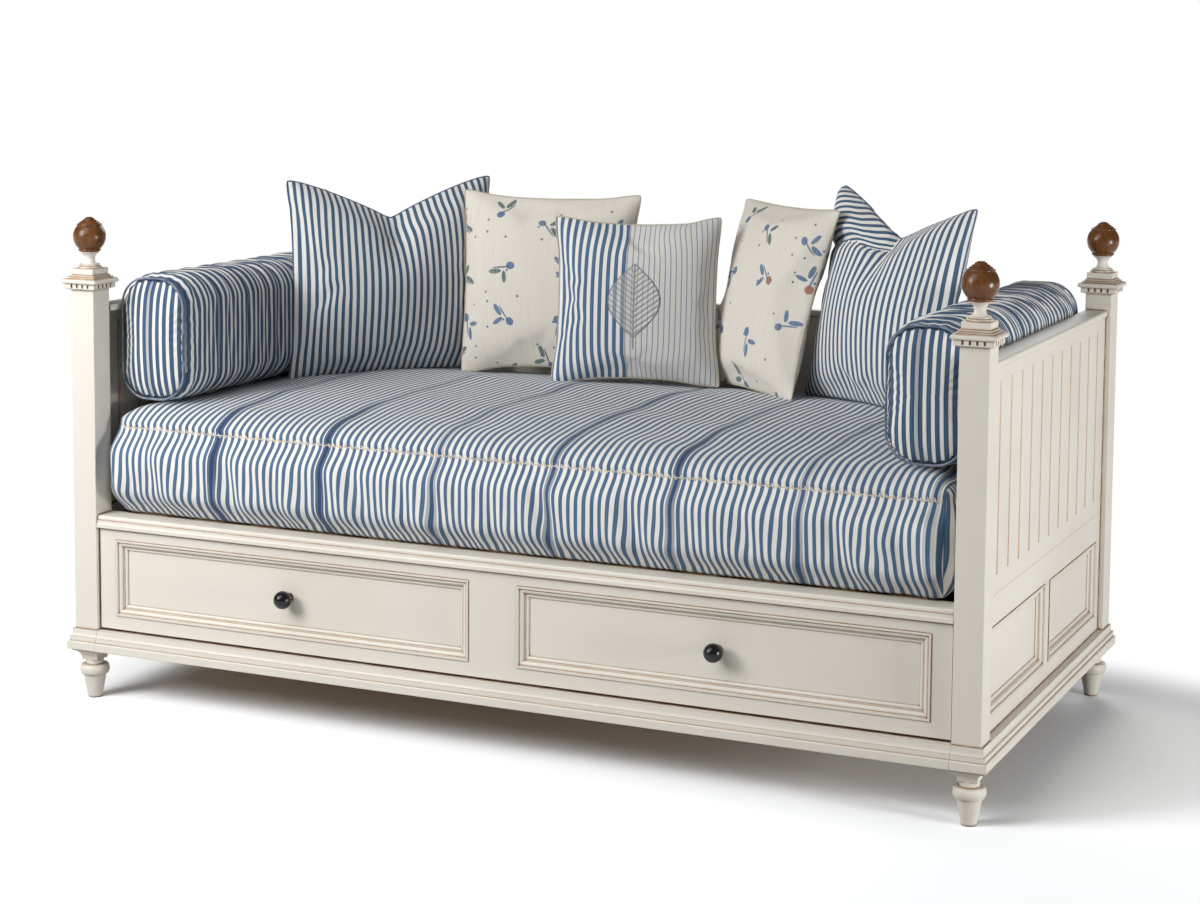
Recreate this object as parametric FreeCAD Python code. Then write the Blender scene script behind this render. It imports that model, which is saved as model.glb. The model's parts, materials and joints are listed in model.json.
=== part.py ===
"""Painted wooden daybed with a full-width trundle drawer, a mattress, two bolsters and five loose cushions.

Millimetres. +X along the bed to the right, +Y to the back, +Z up, origin on the floor under the middle.
"""
import FreeCAD, Part
import math
import os

V = FreeCAD.Vector

# Posts and overall size
BED_LENGTH = 1980.0      # post centre to post centre along the bed
BED_DEPTH = 978.0        # post centre to post centre, front to back
POST = 58.0
POST_EDGE_R = 2.0
POST_TOP = 902.0
FOOT_H = 112.0

# Turned foot
FOOT_TIP_R = 15.0
FOOT_TAPER_R = 25.0
FOOT_TAPER_TOP = 53.0
FOOT_RING_R = 32.0
FOOT_RING_H = 21.0
FOOT_NECK_R = 19.5
FOOT_FLARE_H = 26.0
FOOT_FLARE_HALF = 35.0
FLARE_HOLLOW = (0.28, 0.55)      # middle of the flare's curve, shares of its spread and its height
FLARE_BAND = 0.15                # square band on top, share of the flare's height
SPIGOT_R = 10.0
SPIGOT_L = 40.0
SPIGOT_PLAY = 0.1        # round a spigot, tenon or dowel in its hole
SPIGOT_END_PLAY = 2.0

# Capital, from the post's top upwards
DENTIL_OVERHANG = 9.0
DENTIL_H = 14.0
DENTIL_W = 10.0
DENTIL_GAP = 4.0
DENTIL_DEEP = 3.0
DENTIL_FILLET = 0.2              # slope under the band; this and the next two are shares of its height
DENTIL_FOOT = 0.35
DENTIL_HEAD = 0.1
CORNICE_OVERHANG = 15.0
CORNICE_H = 10.0
NOSE_RISE = 0.45                 # middle of the round nose, share of the cornice
TIER_H = 22.0
# square tiers: half width as a share of the post's, and where each ends as a share of the tiers' height
TIERS = [(1.22, 0.17), (1.07, 0.36), (0.95, 1.0)]
STEM_NECK_R = 11.0
STEM_TOP_R = 20.0
STEM_H = 36.5
# rings at the stem's foot: radius as a share of the head's, and where each ends as a share of its height
STEM_RINGS = [(1.26, 0.12), (1.06, 0.24)]
STEM_SHOULDER = 0.84             # share of the head's radius
STEM_RISES = (0.36, 0.54, 0.76, 0.93)    # hollow, neck, flare and head, shares of the stem's height
STEM_HOLLOW = 2.0                # how much wider the neck is at the middle of its curve
STEM_FLARE = 1.2                 # neck radius to radius at the middle of the head's curve
TENON_R = 6.0
TENON_L = 13.0

# Ball finial
BALL_R = 35.0
BALL_SEAT_R = 21.0
BALL_COLLAR = 2.0        # seat edge to where the ball starts
BALL_COLLAR_BULGE = 1.0  # how far the collar's round stands out past that
BALL_RISE = 32.0         # finial seat to ball centre
BALL_BEAD_R = 26.0
BALL_BEAD_H = 4.5
BALL_BEAD_BULGE = 0.8
BALL_BEAD_TAPER = 1.8    # bead's foot to its head
BALL_RING_H = 4.0
BALL_RINGS = (0.89, 0.69, 0.48, 0.3)     # radii at the feet of the rings and the crown, shares of the bead's
BALL_RING_STEP = 1.0                     # head of a ring to the foot of the next
BALL_RING_BULGE = 0.18                   # share of a ring's height
BALL_CROWN_H = 2.0
BALL_CROWN_FLAT = 0.4                    # radius of the crown's flat top, share of the crown's
BALL_CROWN_ROUND = 0.78                  # middle of the crown's curve, share of its radius and height

# Plinth and base rails
PLINTH_H = 45.0
PLINTH_OVERHANG = 13.0
PLINTH_MID = 9.0
PLINTH_TOP = 4.0
PLINTH_STEPS = (0.4, 0.64, 0.87) # heights of the steps, shares of the plinth's height
PLINTH_LIP = 0.06                # rounding of a step, share of the plinth's height
LIP_SAG = 0.3                    # middle of a rounding, share of the lip
BASE_RAIL_T = 40.0       # behind the post face

# Seat rails, slats
SEAT_TOP = 411.0
LEDGE_H = 27.0
LEDGE_DEPTH = 63.0
LEDGE_BEAD = 0.18                # unit of the ledge's moulding, share of its height
# back from the face and up from below, then back from the face and down from the top, in units
LEDGE_LIP = [(0.4, 0.0), (0.12, 0.12, 0.0, 0.4), (0.0, 1.5), (0.5, 2.1, 0.6, 3.0)]
LEDGE_NOSE = [(0.6, 2.0), (1.0, 2.0), (1.0, 1.2), (1.3, 0.4, 2.2, 0.0)]
WEB_T = 25.0
WEB_H = 44.0
SLAT_COUNT = 13
SLAT_W = 70.0
SLAT_T = 19.0
SLAT_PLAY = 1.0
CLEAT = 25.0
CLEAT_H = 20.0

# End panels
END_RECESS = 13.0        # end panel face behind the post face
END_BOARD_T = 18.0
END_FRAME_T = 35.0
END_JOINT_Z = 420.0
END_TOP = 866.0
END_CAP_T = 14.0
END_CAP_W = 52.0
END_CAP_LIP = 4.0        # cap past the board's outer face
CAP_ROUND = 0.3          # edge radius of a cap, share of its thickness
GROOVE_COUNT = 11
GROOVE_PITCH = 78.0
GROOVE_W = 9.0
GROOVE_DEEP = 4.0
GROOVE_FOOT = 37.0       # above the joint
GROOVE_HEAD = 27.0       # below the cap

# Back panel
BACK_TOP = 826.0
BACK_LOWER_T = 24.0
BACK_CAP_W = 30.0

# Recessed panels with mitred mouldings
PANEL_DEEP = 13.0
MOULD_W = 24.0
MOULD_PROUD = 2.0
MOULD_FILLET = 0.2               # flat outer edge, share of the width
# section from the flat edge inwards: shares of the width and of the panel's depth
MOULD_SECTION = [(0.26, 0.86), (0.48, 0.82, 0.6, 0.46), (0.68, 0.46), (0.72, 0.3), (0.92, 0.26, 1.0, 0.0)]
END_PANEL_LOW = 33.0     # above the plinth top
END_PANEL_H = 170.0
END_STILE = 35.0         # at the posts
END_MULLION = 36.0

# Trundle drawer
FRONT_RECESS = 10.0      # drawer face behind the post face
FRONT_T = 22.0
FRONT_GAP = 3.0
FRONT_FOOT_GAP = 5.0
FRONT_PANEL_LOW = 30.0
FRONT_PANEL_H = 168.0
FRONT_STILE = 41.0
FRONT_MULLION = 108.0
BOX_DEPTH = 796.0
BOX_SIDE_T = 16.0
BOX_LOW = 14.0           # box side above the front's lower edge
BOX_SIDE_H = 155.0
BOTTOM_T = 9.0
BOTTOM_UP = 10.0
BOTTOM_IN = 6.0          # bottom into its grooves
BOTTOM_PLAY = 0.2
KNOB_R = 19.0
KNOB_STEM_R = 7.0
KNOB_ROSE_R = 9.0
KNOB_ROSE_H = 3.0
KNOB_REACH = 47.0        # from the panel floor
SCREW_R = 2.0
SCREW_PLAY = 0.15
SCREW_HEAD_R = 5.0
SCREW_HEAD_H = 3.0
SCREW_IN = 22.0

# Telescopic slides
SLIDE_SPACE = 13.0       # between the drawer side and its batten
SLIDE_H = 45.0
SLIDE_L = 700.0
SLIDE_SHEET = 1.5
SLIDE_PLAY = 0.3
SLIDE_LIP = 2.5          # channel edge short of the facing plate
SLIDE_Z = 255.0
SLIDE_SET_BACK = 5.0     # behind the batten's front end
BATTEN_T = 22.0
BATTEN_H = 60.0

# Dowels
DOWEL_R = 5.0
DOWEL_L = 30.0
DOWEL_LOW_Z = 134.0

# Soft goods
SOFT_GAP = 0.3
MATTRESS_ENDS = 8.0      # short of the posts' inner faces
MATTRESS_FRONT = 26.0    # behind the post faces
MATTRESS_BACK = 10.0     # in front of the back board
MATTRESS_H = 239.0
MATTRESS_CORNER_R = 44.0
MATTRESS_TOP_R = 42.0
MATTRESS_LOW_R = 18.0
BOLSTER_W = 168.0
BOLSTER_H = 284.0
BOLSTER_ENDS = 20.0      # short of the posts' inner faces
BOLSTER_R = 72.0
BOLSTER_END_R = 20.0
BOLSTER_OUT = 2.0        # clear of the end cap's inner edge
CUSHION_EDGE = 14.0      # thickness at the seam
CUSHION_EAR = 16.0       # how far the sides pull in between the corners
CUSHION_ROW = 61.0       # rear corners in front of the back cap

# name: width, height, thickness, notch at the top, place along the bed and in front of the row,
# all in shares of the clear seat between the bolsters; then turn about Z and lean back in degrees
CUSHIONS = {
    "cushion_left_stripe": (0.3014, 0.2887, 0.0952, 0.0571, -0.3972, 0.1358, 53.0, 1.0),
    "cushion_left_print": (0.2760, 0.2697, 0.0730, 0.0, -0.1751, 0.0685, 9.0, 5.0),
    "cushion_centre_patch": (0.2411, 0.2443, 0.0666, 0.0, -0.0216, 0.1066, 16.0, 8.0),
    "cushion_right_print": (0.2350, 0.2700, 0.0730, 0.0, 0.1434, 0.0726, -38.0, 16.0),
    "cushion_right_stripe": (0.3046, 0.2887, 0.0984, 0.0508, 0.3541, 0.1466, -35.0, 12.0),
}

# Worked-out places
HALF_L = BED_LENGTH / 2
HALF_D = BED_DEPTH / 2
HALF_POST = POST / 2
IN_X = HALF_L - HALF_POST
IN_Y = HALF_D - HALF_POST
OUT_X = HALF_L + HALF_POST
OUT_Y = HALF_D + HALF_POST
PLINTH_Z = FOOT_H + PLINTH_H
END_FACE = OUT_X - END_RECESS
END_IN = END_FACE - END_FRAME_T
BACK_FACE = OUT_Y - END_RECESS
BACK_BOARD_IN = BACK_FACE - END_BOARD_T
LEDGE_Z = SEAT_TOP - LEDGE_H
LEDGE_BACK = -OUT_Y + LEDGE_DEPTH
SLAT_HALF_L = -LEDGE_BACK - SLAT_PLAY
CLEAT_TOP = SEAT_TOP - SLAT_T
FACE_Y = -OUT_Y + FRONT_RECESS
FRONT_BACK_Y = FACE_Y + FRONT_T
FRONT_HALF_L = IN_X - FRONT_GAP
FRONT_Z = PLINTH_Z + FRONT_FOOT_GAP
FRONT_TOP = LEDGE_Z - FRONT_GAP
BATTEN_IN = END_IN - BATTEN_T
BOX_HALF = BATTEN_IN - SLIDE_SPACE
BOX_IN = BOX_HALF - BOX_SIDE_T
BOX_Z = FRONT_Z + BOX_LOW
BOX_TOP = BOX_Z + BOX_SIDE_H
BOX_BACK_Y = FRONT_BACK_Y + BOX_DEPTH
SLIDE_Y = -IN_Y + SLIDE_SET_BACK
CORNICE_Z = POST_TOP + DENTIL_H
TIER_Z = CORNICE_Z + CORNICE_H
STEM_Z = TIER_Z + TIER_H
BALL_Z = STEM_Z + STEM_H
MATTRESS_Z = SEAT_TOP + SOFT_GAP
MATTRESS_TOP = MATTRESS_Z + MATTRESS_H
BACK_CAP_OUT = BACK_FACE + END_CAP_LIP
BACK_CAP_IN = BACK_CAP_OUT - BACK_CAP_W
BOLSTER_OUT_X = END_FACE + END_CAP_LIP - END_CAP_W - BOLSTER_OUT
BOLSTER_IN_X = BOLSTER_OUT_X - BOLSTER_W
CLEAR_SEAT = 2 * BOLSTER_IN_X
DOWEL_HIGH_Z = SEAT_TOP - LEDGE_H / 2
PANEL_FLOOR_Y = FACE_Y + PANEL_DEEP
KNOB_TIP = -PANEL_FLOOR_Y + KNOB_REACH
CENTRE_SHIFT = (KNOB_TIP - OUT_Y - max(PLINTH_OVERHANG, CORNICE_OVERHANG)) / 2

CORNERS = {"left_front": (-1, -1), "right_front": (1, -1), "left_rear": (-1, 1), "right_rear": (1, 1)}
SIDES = {"left": -1, "right": 1}
QUARTERS = (0, 90, 180, 270)
TOUCH = 1e-3             # two places closer than this are one


def save(name, *solids):
    """Write one node, moved so that the middle of the whole part stands over the origin."""
    shape = solids[0] if len(solids) == 1 else Part.makeCompound(list(solids))
    moved(shape, 0, CENTRE_SHIFT).exportStep("parts/" + name + ".step")


def block(x0, x1, y0, y1, z0, z1):
    """A box between two corners, given in any order along each axis."""
    low = V(min(x0, x1), min(y0, y1), min(z0, z1))
    return Part.makeBox(abs(x1 - x0), abs(y1 - y0), abs(z1 - z0), low)


def outline_face(points, place):
    """A flat face from outline points; a point of four numbers ends an arc through its first two."""
    edges = []
    last = place(*points[0])
    for point in points[1:] + points[:1]:
        end = place(*point[-2:])
        if len(point) == 4:
            edges.append(Part.Arc(last, place(*point[:2]), end).toShape())
        elif last.distanceToPoint(end) > 1e-6:
            edges.append(Part.LineSegment(last, end).toShape())
        last = end
    return Part.Face(Part.Wire(edges))


def scaled_section(points, across, up, from_across=0.0, from_up=0.0):
    """Outline points given in shares, brought to size and place."""
    sized = []
    for point in points:
        pairs = zip(point[::2], point[1::2])
        sized.append(tuple(v for a, u in pairs for v in (from_across + a * across, from_up + u * up)))
    return sized


def turned(points):
    """A solid turned about Z from (radius, height) points."""
    face = outline_face(points, lambda r, z: V(r, 0, z))
    return face.revolve(V(0, 0, 0), V(0, 0, 1), 360)


def both_sides(points):
    """The outline closed by its own mirror image about the axis."""
    back = [(-points[-1][-2], points[-1][-1])]
    for here, before in zip(points[:0:-1], points[-2::-1]):
        through = (-here[0], here[1]) if len(here) == 4 else ()
        back.append(through + (-before[-2], before[-1]))
    return points + back


def squared(points):
    """A four-sided solid with mitred corners from (half width, height) points."""
    whole = both_sides(points)
    reach = 2 * max(p[-2] for p in points)
    along_y = outline_face(whole, lambda w, z: V(w, -reach, z)).extrude(V(0, 2 * reach, 0))
    along_x = outline_face(whole, lambda w, z: V(-reach, w, z)).extrude(V(2 * reach, 0, 0))
    return along_y.common(along_x)


def moved(shape, x, y, z=0.0):
    """A copy of the shape at another place."""
    copy = shape.copy()
    copy.translate(V(x, y, z))
    return copy


def rounded(shape, radius, wanted):
    """The shape with a fillet on each edge for which wanted is true."""
    return shape.makeFillet(radius, [e for e in shape.Edges if wanted(e)])


def runs_along(axis):
    """A test for straight edges parallel to an axis vector."""
    def test(edge):
        run = edge.Vertexes[-1].Point - edge.Vertexes[0].Point
        return run.Length > 0 and abs(run.dot(axis)) > 0.999 * run.Length
    return test


def foot():
    """Turned foot with a square flared block and a spigot for the post."""
    ring_top = FOOT_TAPER_TOP + FOOT_RING_H
    flare_z = FOOT_H - FOOT_FLARE_H
    ring_edge = (FOOT_TAPER_R + FOOT_RING_R) / 2
    ring_mid = FOOT_TAPER_TOP + FOOT_RING_H / 2
    lower = turned([
        (0, 0), (FOOT_TIP_R, 0), (FOOT_TAPER_R, FOOT_TAPER_TOP), (ring_edge, FOOT_TAPER_TOP),
        (FOOT_RING_R, ring_mid, ring_edge, ring_top), (FOOT_NECK_R, ring_top), (FOOT_NECK_R, flare_z),
        (0, flare_z)])
    hollow = FOOT_NECK_R + (FOOT_FLARE_HALF - FOOT_NECK_R) * FLARE_HOLLOW[0]
    hollow_z = flare_z + FOOT_FLARE_H * FLARE_HOLLOW[1]
    band_z = FOOT_H - FOOT_FLARE_H * FLARE_BAND
    flare = squared([
        (FOOT_NECK_R, flare_z), (hollow, hollow_z, FOOT_FLARE_HALF, band_z), (FOOT_FLARE_HALF, FOOT_H)])
    spigot = Part.makeCylinder(SPIGOT_R, SPIGOT_L, V(0, 0, FOOT_H))
    return lower.fuse([flare, spigot]).removeSplitter()


def dentil_gaps(half, z0, z1):
    """Shallow slots along the four sides of the dentil band."""
    pitch = DENTIL_W + DENTIL_GAP
    count = int((2 * half - 2 * DENTIL_W) / pitch)
    slots = []
    for i in range(count):
        at = (i - (count - 1) / 2) * pitch
        for side in (-1, 1):
            inner = side * (half - DENTIL_DEEP)
            outer = side * (half + DENTIL_DEEP)
            slots.append(block(at - DENTIL_GAP / 2, at + DENTIL_GAP / 2, inner, outer, z0, z1))
            slots.append(block(inner, outer, at - DENTIL_GAP / 2, at + DENTIL_GAP / 2, z0, z1))
    return slots


def stepped(steps, width, z, height):
    """Outline points of steps going in, from (share of a width, share of a height) pairs."""
    points = []
    low = z
    for across, rise in steps:
        high = z + height * rise
        points += [(width * across, low), (width * across, high)]
        low = high
    return points


def capital():
    """Stepped square capital with its turned stem, a spigot below and a tenon above."""
    band = HALF_POST + DENTIL_OVERHANG
    nose = HALF_POST + CORNICE_OVERHANG
    neck = (band + nose) / 2
    nose_z = CORNICE_Z + CORNICE_H * NOSE_RISE
    nose_top = CORNICE_Z + CORNICE_H * 2 * NOSE_RISE
    tiers = stepped(TIERS, HALF_POST, TIER_Z, TIER_H)
    square = squared([
        (HALF_POST, POST_TOP), (band, POST_TOP + DENTIL_H * DENTIL_FILLET),
        (band, CORNICE_Z), (neck, CORNICE_Z),
        (nose, nose_z, neck, nose_top), (neck, TIER_Z)] + tiers)
    gap_foot = POST_TOP + DENTIL_H * DENTIL_FOOT
    square = square.cut(dentil_gaps(band, gap_foot, CORNICE_Z - DENTIL_H * DENTIL_HEAD))
    rises = [STEM_Z + STEM_H * share for share in STEM_RISES]
    rings = stepped(STEM_RINGS, STEM_TOP_R, STEM_Z, STEM_H)
    stem = turned([(0, STEM_Z)] + rings + [
        (STEM_TOP_R * STEM_SHOULDER, rings[-1][1]),
        (STEM_NECK_R + STEM_HOLLOW, rises[0], STEM_NECK_R, rises[1]),
        (STEM_NECK_R * STEM_FLARE, rises[2], STEM_TOP_R, rises[3]), (STEM_TOP_R, BALL_Z), (0, BALL_Z)])
    spigot = Part.makeCylinder(SPIGOT_R, SPIGOT_L, V(0, 0, POST_TOP - SPIGOT_L))
    tenon = Part.makeCylinder(TENON_R, TENON_L, V(0, 0, BALL_Z))
    return square.fuse([stem, spigot, tenon]).removeSplitter()


def ball():
    """Turned ball finial with a collar below and rings stepping in on top."""
    centre = BALL_Z + BALL_RISE
    low_r = BALL_SEAT_R + BALL_COLLAR
    low_z = centre - math.sqrt(BALL_R ** 2 - low_r ** 2)
    bead_z = centre + math.sqrt(BALL_R ** 2 - BALL_BEAD_R ** 2)
    top = bead_z + BALL_BEAD_H
    feet = [BALL_BEAD_R * share for share in BALL_RINGS]
    rings = []
    for foot, following in zip(feet, feet[1:]):
        head = following + BALL_RING_STEP
        middle = (foot + head) / 2 + BALL_RING_H * BALL_RING_BULGE
        rings += [(foot, top), (middle, top + BALL_RING_H / 2, head, top + BALL_RING_H)]
        top += BALL_RING_H
    crown = feet[-1]
    body = turned([
        (0, BALL_Z), (BALL_SEAT_R, BALL_Z),
        (low_r + BALL_COLLAR_BULGE, (BALL_Z + low_z) / 2, low_r, low_z),
        (BALL_R, centre, BALL_BEAD_R, bead_z),
        (BALL_BEAD_R + BALL_BEAD_BULGE, bead_z + BALL_BEAD_H / 2,
         BALL_BEAD_R - BALL_BEAD_TAPER, bead_z + BALL_BEAD_H),
        *rings, (crown, top),
        (crown * BALL_CROWN_ROUND, top + BALL_CROWN_H * BALL_CROWN_ROUND,
         crown * BALL_CROWN_FLAT, top + BALL_CROWN_H),
        (0, top + BALL_CROWN_H)])
    socket = Part.makeCylinder(TENON_R + SPIGOT_PLAY, TENON_L + SPIGOT_END_PLAY, V(0, 0, BALL_Z))
    return body.cut(socket)


def plinth_profile(face):
    """Stepped moulding as (distance from a middle line, height) points, for a post face at that distance."""
    z1, z2, z3 = [FOOT_H + PLINTH_H * share for share in PLINTH_STEPS]
    lip = PLINTH_H * PLINTH_LIP
    sag = lip * LIP_SAG
    return [
        (face + PLINTH_OVERHANG, FOOT_H), (face + PLINTH_OVERHANG, z1 - lip),
        (face + PLINTH_OVERHANG - sag, z1 - sag, face + PLINTH_MID, z1),
        (face + PLINTH_MID, z2), (face + PLINTH_TOP + lip, z2),
        (face + PLINTH_TOP + sag, z2 + lip, face + PLINTH_TOP, z3 - lip),
        (face + PLINTH_TOP, PLINTH_Z)]


def plinth_corner(sx, sy):
    """Moulding wrapped round the two outer faces of one post."""
    ring = squared(plinth_profile(HALF_POST))
    reach = HALF_POST + 2 * PLINTH_OVERHANG
    ring = ring.common(block(-sx * HALF_POST, sx * reach, -sy * HALF_POST, sy * reach, FOOT_H, PLINTH_Z))
    core = block(-HALF_POST, HALF_POST, -HALF_POST, HALF_POST, FOOT_H, PLINTH_Z)
    return moved(ring.cut(core), sx * HALF_L, sy * HALF_D)


def dowels(length_extra, radius_extra):
    """The dowels of every rail joint; the extras turn them into their holes."""
    radius = DOWEL_R + radius_extra
    length = DOWEL_L + length_extra
    found = []
    for sx, sy in CORNERS.values():
        for z in (DOWEL_LOW_Z, DOWEL_HIGH_Z):
            start_x = V(sx * IN_X - length / 2, sy * HALF_D, z)
            start_y = V(sx * HALF_L, sy * IN_Y - length / 2, z)
            found.append(Part.makeCylinder(radius, length, start_x, V(1, 0, 0)))
            found.append(Part.makeCylinder(radius, length, start_y, V(0, 1, 0)))
    return found


DOWEL_HOLES = Part.makeCompound(dowels(SPIGOT_END_PLAY, SPIGOT_PLAY))


def post(sx, sy):
    """Square post with eased edges, spigot holes at both ends and dowel holes."""
    stick = block(-HALF_POST, HALF_POST, -HALF_POST, HALF_POST, FOOT_H, POST_TOP)
    stick = rounded(stick, POST_EDGE_R, runs_along(V(0, 0, 1)))
    depth = SPIGOT_L + SPIGOT_END_PLAY
    for z in (FOOT_H, POST_TOP - depth):
        stick = stick.cut(Part.makeCylinder(SPIGOT_R + SPIGOT_PLAY, depth, V(0, 0, z)))
    return moved(stick, sx * HALF_L, sy * HALF_D).cut(DOWEL_HOLES)


def base_rail_long(sy):
    """Front or back base rail with the plinth moulding on its outer face."""
    profile = plinth_profile(OUT_Y) + [(OUT_Y - BASE_RAIL_T, PLINTH_Z), (OUT_Y - BASE_RAIL_T, FOOT_H)]
    face = outline_face(profile, lambda d, z: V(-IN_X, sy * d, z))
    return face.extrude(V(2 * IN_X, 0, 0)).cut(DOWEL_HOLES)


def base_rail_end(sx):
    """End base rail with the plinth moulding on its outer face."""
    profile = plinth_profile(OUT_X) + [(OUT_X - BASE_RAIL_T, PLINTH_Z), (OUT_X - BASE_RAIL_T, FOOT_H)]
    face = outline_face(profile, lambda d, z: V(sx * d, -IN_Y, z))
    return face.extrude(V(0, 2 * IN_Y, 0)).cut(DOWEL_HOLES)


def seat_rail_front():
    """Front seat rail: a moulded ledge over the drawer and a web behind the drawer front."""
    bead = LEDGE_H * LEDGE_BEAD
    lip = scaled_section(LEDGE_LIP, bead, bead, -OUT_Y, LEDGE_Z)
    nose = scaled_section(LEDGE_NOSE, bead, -bead, -OUT_Y, SEAT_TOP)
    section = lip + nose + [
        (LEDGE_BACK, SEAT_TOP), (LEDGE_BACK, LEDGE_Z - WEB_H), (LEDGE_BACK - WEB_T, LEDGE_Z - WEB_H),
        (LEDGE_BACK - WEB_T, LEDGE_Z)]
    face = outline_face(section, lambda y, z: V(-IN_X, y, z))
    return face.extrude(V(2 * IN_X, 0, 0)).cut(DOWEL_HOLES)


def seat_rail_back():
    """Rail on the inside of the back panel that carries the rear slat cleat."""
    return block(-IN_X, IN_X, -LEDGE_BACK, BACK_FACE - BACK_LOWER_T, LEDGE_Z - WEB_H, SEAT_TOP)


def slats():
    """Slats across the bed from cleat to cleat."""
    pitch = (2 * IN_X - SLAT_W) / SLAT_COUNT
    places = [(i - (SLAT_COUNT - 1) / 2) * pitch for i in range(SLAT_COUNT)]
    half = SLAT_W / 2
    return [block(x - half, x + half, -SLAT_HALF_L, SLAT_HALF_L, CLEAT_TOP, SEAT_TOP) for x in places]


def slat_cleats():
    """Two strips that the slat ends lie on."""
    return [block(-IN_X, IN_X, s * -LEDGE_BACK, s * (-LEDGE_BACK - CLEAT), CLEAT_TOP - CLEAT_H, CLEAT_TOP)
            for s in (-1, 1)]


def grooved_board(sx):
    """End board above the joint, with upright V grooves on both faces."""
    outer = sx * END_FACE
    inner = sx * (END_FACE - END_BOARD_T)
    top = END_TOP - END_CAP_T
    board = block(inner, outer, -IN_Y, IN_Y, END_JOINT_Z, top)
    z0 = END_JOINT_Z + GROOVE_FOOT
    rise = V(0, 0, top - GROOVE_HEAD - z0)
    cuts = []
    for i in range(GROOVE_COUNT):
        y = (i - (GROOVE_COUNT - 1) / 2) * GROOVE_PITCH
        for face, inward in ((outer, -sx), (inner, sx)):
            tip = face + inward * GROOVE_DEEP
            lip = face - inward * GROOVE_DEEP
            wedge = Part.makePolygon([
                V(lip, y - GROOVE_W, z0), V(tip, y, z0), V(lip, y + GROOVE_W, z0), V(lip, y - GROOVE_W, z0)])
            cuts.append(Part.Face(wedge).extrude(rise))
    return board.cut(cuts)


def end_cap(sx):
    """Cap rail on top of an end panel, with rounded outer edges."""
    outer = END_FACE + END_CAP_LIP
    cap = block(sx * (outer - END_CAP_W), sx * outer, -IN_Y, IN_Y, END_TOP - END_CAP_T, END_TOP)
    return rounded(cap, END_CAP_T * CAP_ROUND, runs_along(V(0, 1, 0)))


END_PANELS = [(s * END_MULLION / 2, s * (IN_Y - END_STILE)) for s in (-1, 1)]
END_PANEL_Z = (PLINTH_Z + END_PANEL_LOW, PLINTH_Z + END_PANEL_LOW + END_PANEL_H)
FRONT_PANELS = [(s * FRONT_MULLION / 2, s * (FRONT_HALF_L - FRONT_STILE)) for s in (-1, 1)]
FRONT_PANEL_Z = (FRONT_Z + FRONT_PANEL_LOW, FRONT_Z + FRONT_PANEL_LOW + FRONT_PANEL_H)


def end_frame(sx):
    """Lower end frame with two recessed panels on its outer face."""
    frame = block(sx * END_IN, sx * END_FACE, -IN_Y, IN_Y, PLINTH_Z, END_JOINT_Z)
    floor = sx * (END_FACE - PANEL_DEEP)
    pockets = [block(floor, sx * OUT_X, y0, y1, *END_PANEL_Z) for y0, y1 in END_PANELS]
    return frame.cut(pockets).cut(DOWEL_HOLES)


def mitred_strip(length):
    """One moulding strip, mitred at both ends: run along X, inward along Y, outward along Z."""
    top = PANEL_DEEP + MOULD_PROUD
    section = [(0, 0), (0, top), (MOULD_W * MOULD_FILLET, top)]
    section += scaled_section(MOULD_SECTION, MOULD_W, PANEL_DEEP)
    half = length / 2
    bar = outline_face(section, lambda d, h: V(-half, d, h)).extrude(V(length, 0, 0))
    corners = [V(-half, 0, 0), V(half, 0, 0), V(half - MOULD_W, MOULD_W, 0), V(MOULD_W - half, MOULD_W, 0)]
    mitre = Part.Face(Part.makePolygon(corners + corners[:1])).extrude(V(0, 0, top))
    return bar.common(mitre)


def strip_frame(width, height):
    """Four mitred strips round a recess centred on the origin, in the XY plane, standing up along Z."""
    strips = []
    for turn in QUARTERS:
        run, off = (height, width) if turn % 180 else (width, height)
        strip = mitred_strip(run)
        strip.translate(V(0, -off / 2, 0))
        strip.rotate(V(0, 0, 0), V(0, 0, 1), turn)
        strips.append(strip)
    return strips


def hung_frame(span, heights, floor, direction):
    """A strip frame stood upright in a recess; direction is 'front', 'left' or 'right'."""
    width = abs(span[1] - span[0])
    strips = strip_frame(width, heights[1] - heights[0])
    middle = (span[0] + span[1]) / 2
    turn = {"front": 0, "right": 90, "left": -90}[direction]
    place = V(middle, floor, 0) if direction == "front" else V(floor, middle, 0)
    place.z = (heights[0] + heights[1]) / 2
    for strip in strips:
        strip.rotate(V(0, 0, 0), V(1, 0, 0), 90)
        strip.rotate(V(0, 0, 0), V(0, 0, 1), turn)
        strip.translate(place)
    return strips


def end_mouldings():
    """The panel mouldings of both end frames."""
    strips = []
    for side, sx in SIDES.items():
        for span in END_PANELS:
            strips += hung_frame(span, END_PANEL_Z, sx * (END_FACE - PANEL_DEEP), side)
    return strips


def back_lower():
    """Lower board of the back panel."""
    board = block(-IN_X, IN_X, BACK_FACE - BACK_LOWER_T, BACK_FACE, PLINTH_Z, END_JOINT_Z)
    return board.cut(DOWEL_HOLES)


def back_board():
    """Upper board of the back panel."""
    return block(-IN_X, IN_X, BACK_BOARD_IN, BACK_FACE, END_JOINT_Z, BACK_TOP - END_CAP_T)


def back_cap():
    """Cap rail on top of the back panel."""
    cap = block(-IN_X, IN_X, BACK_CAP_IN, BACK_CAP_OUT, BACK_TOP - END_CAP_T, BACK_TOP)
    return rounded(cap, END_CAP_T * CAP_ROUND, runs_along(V(1, 0, 0)))


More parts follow.
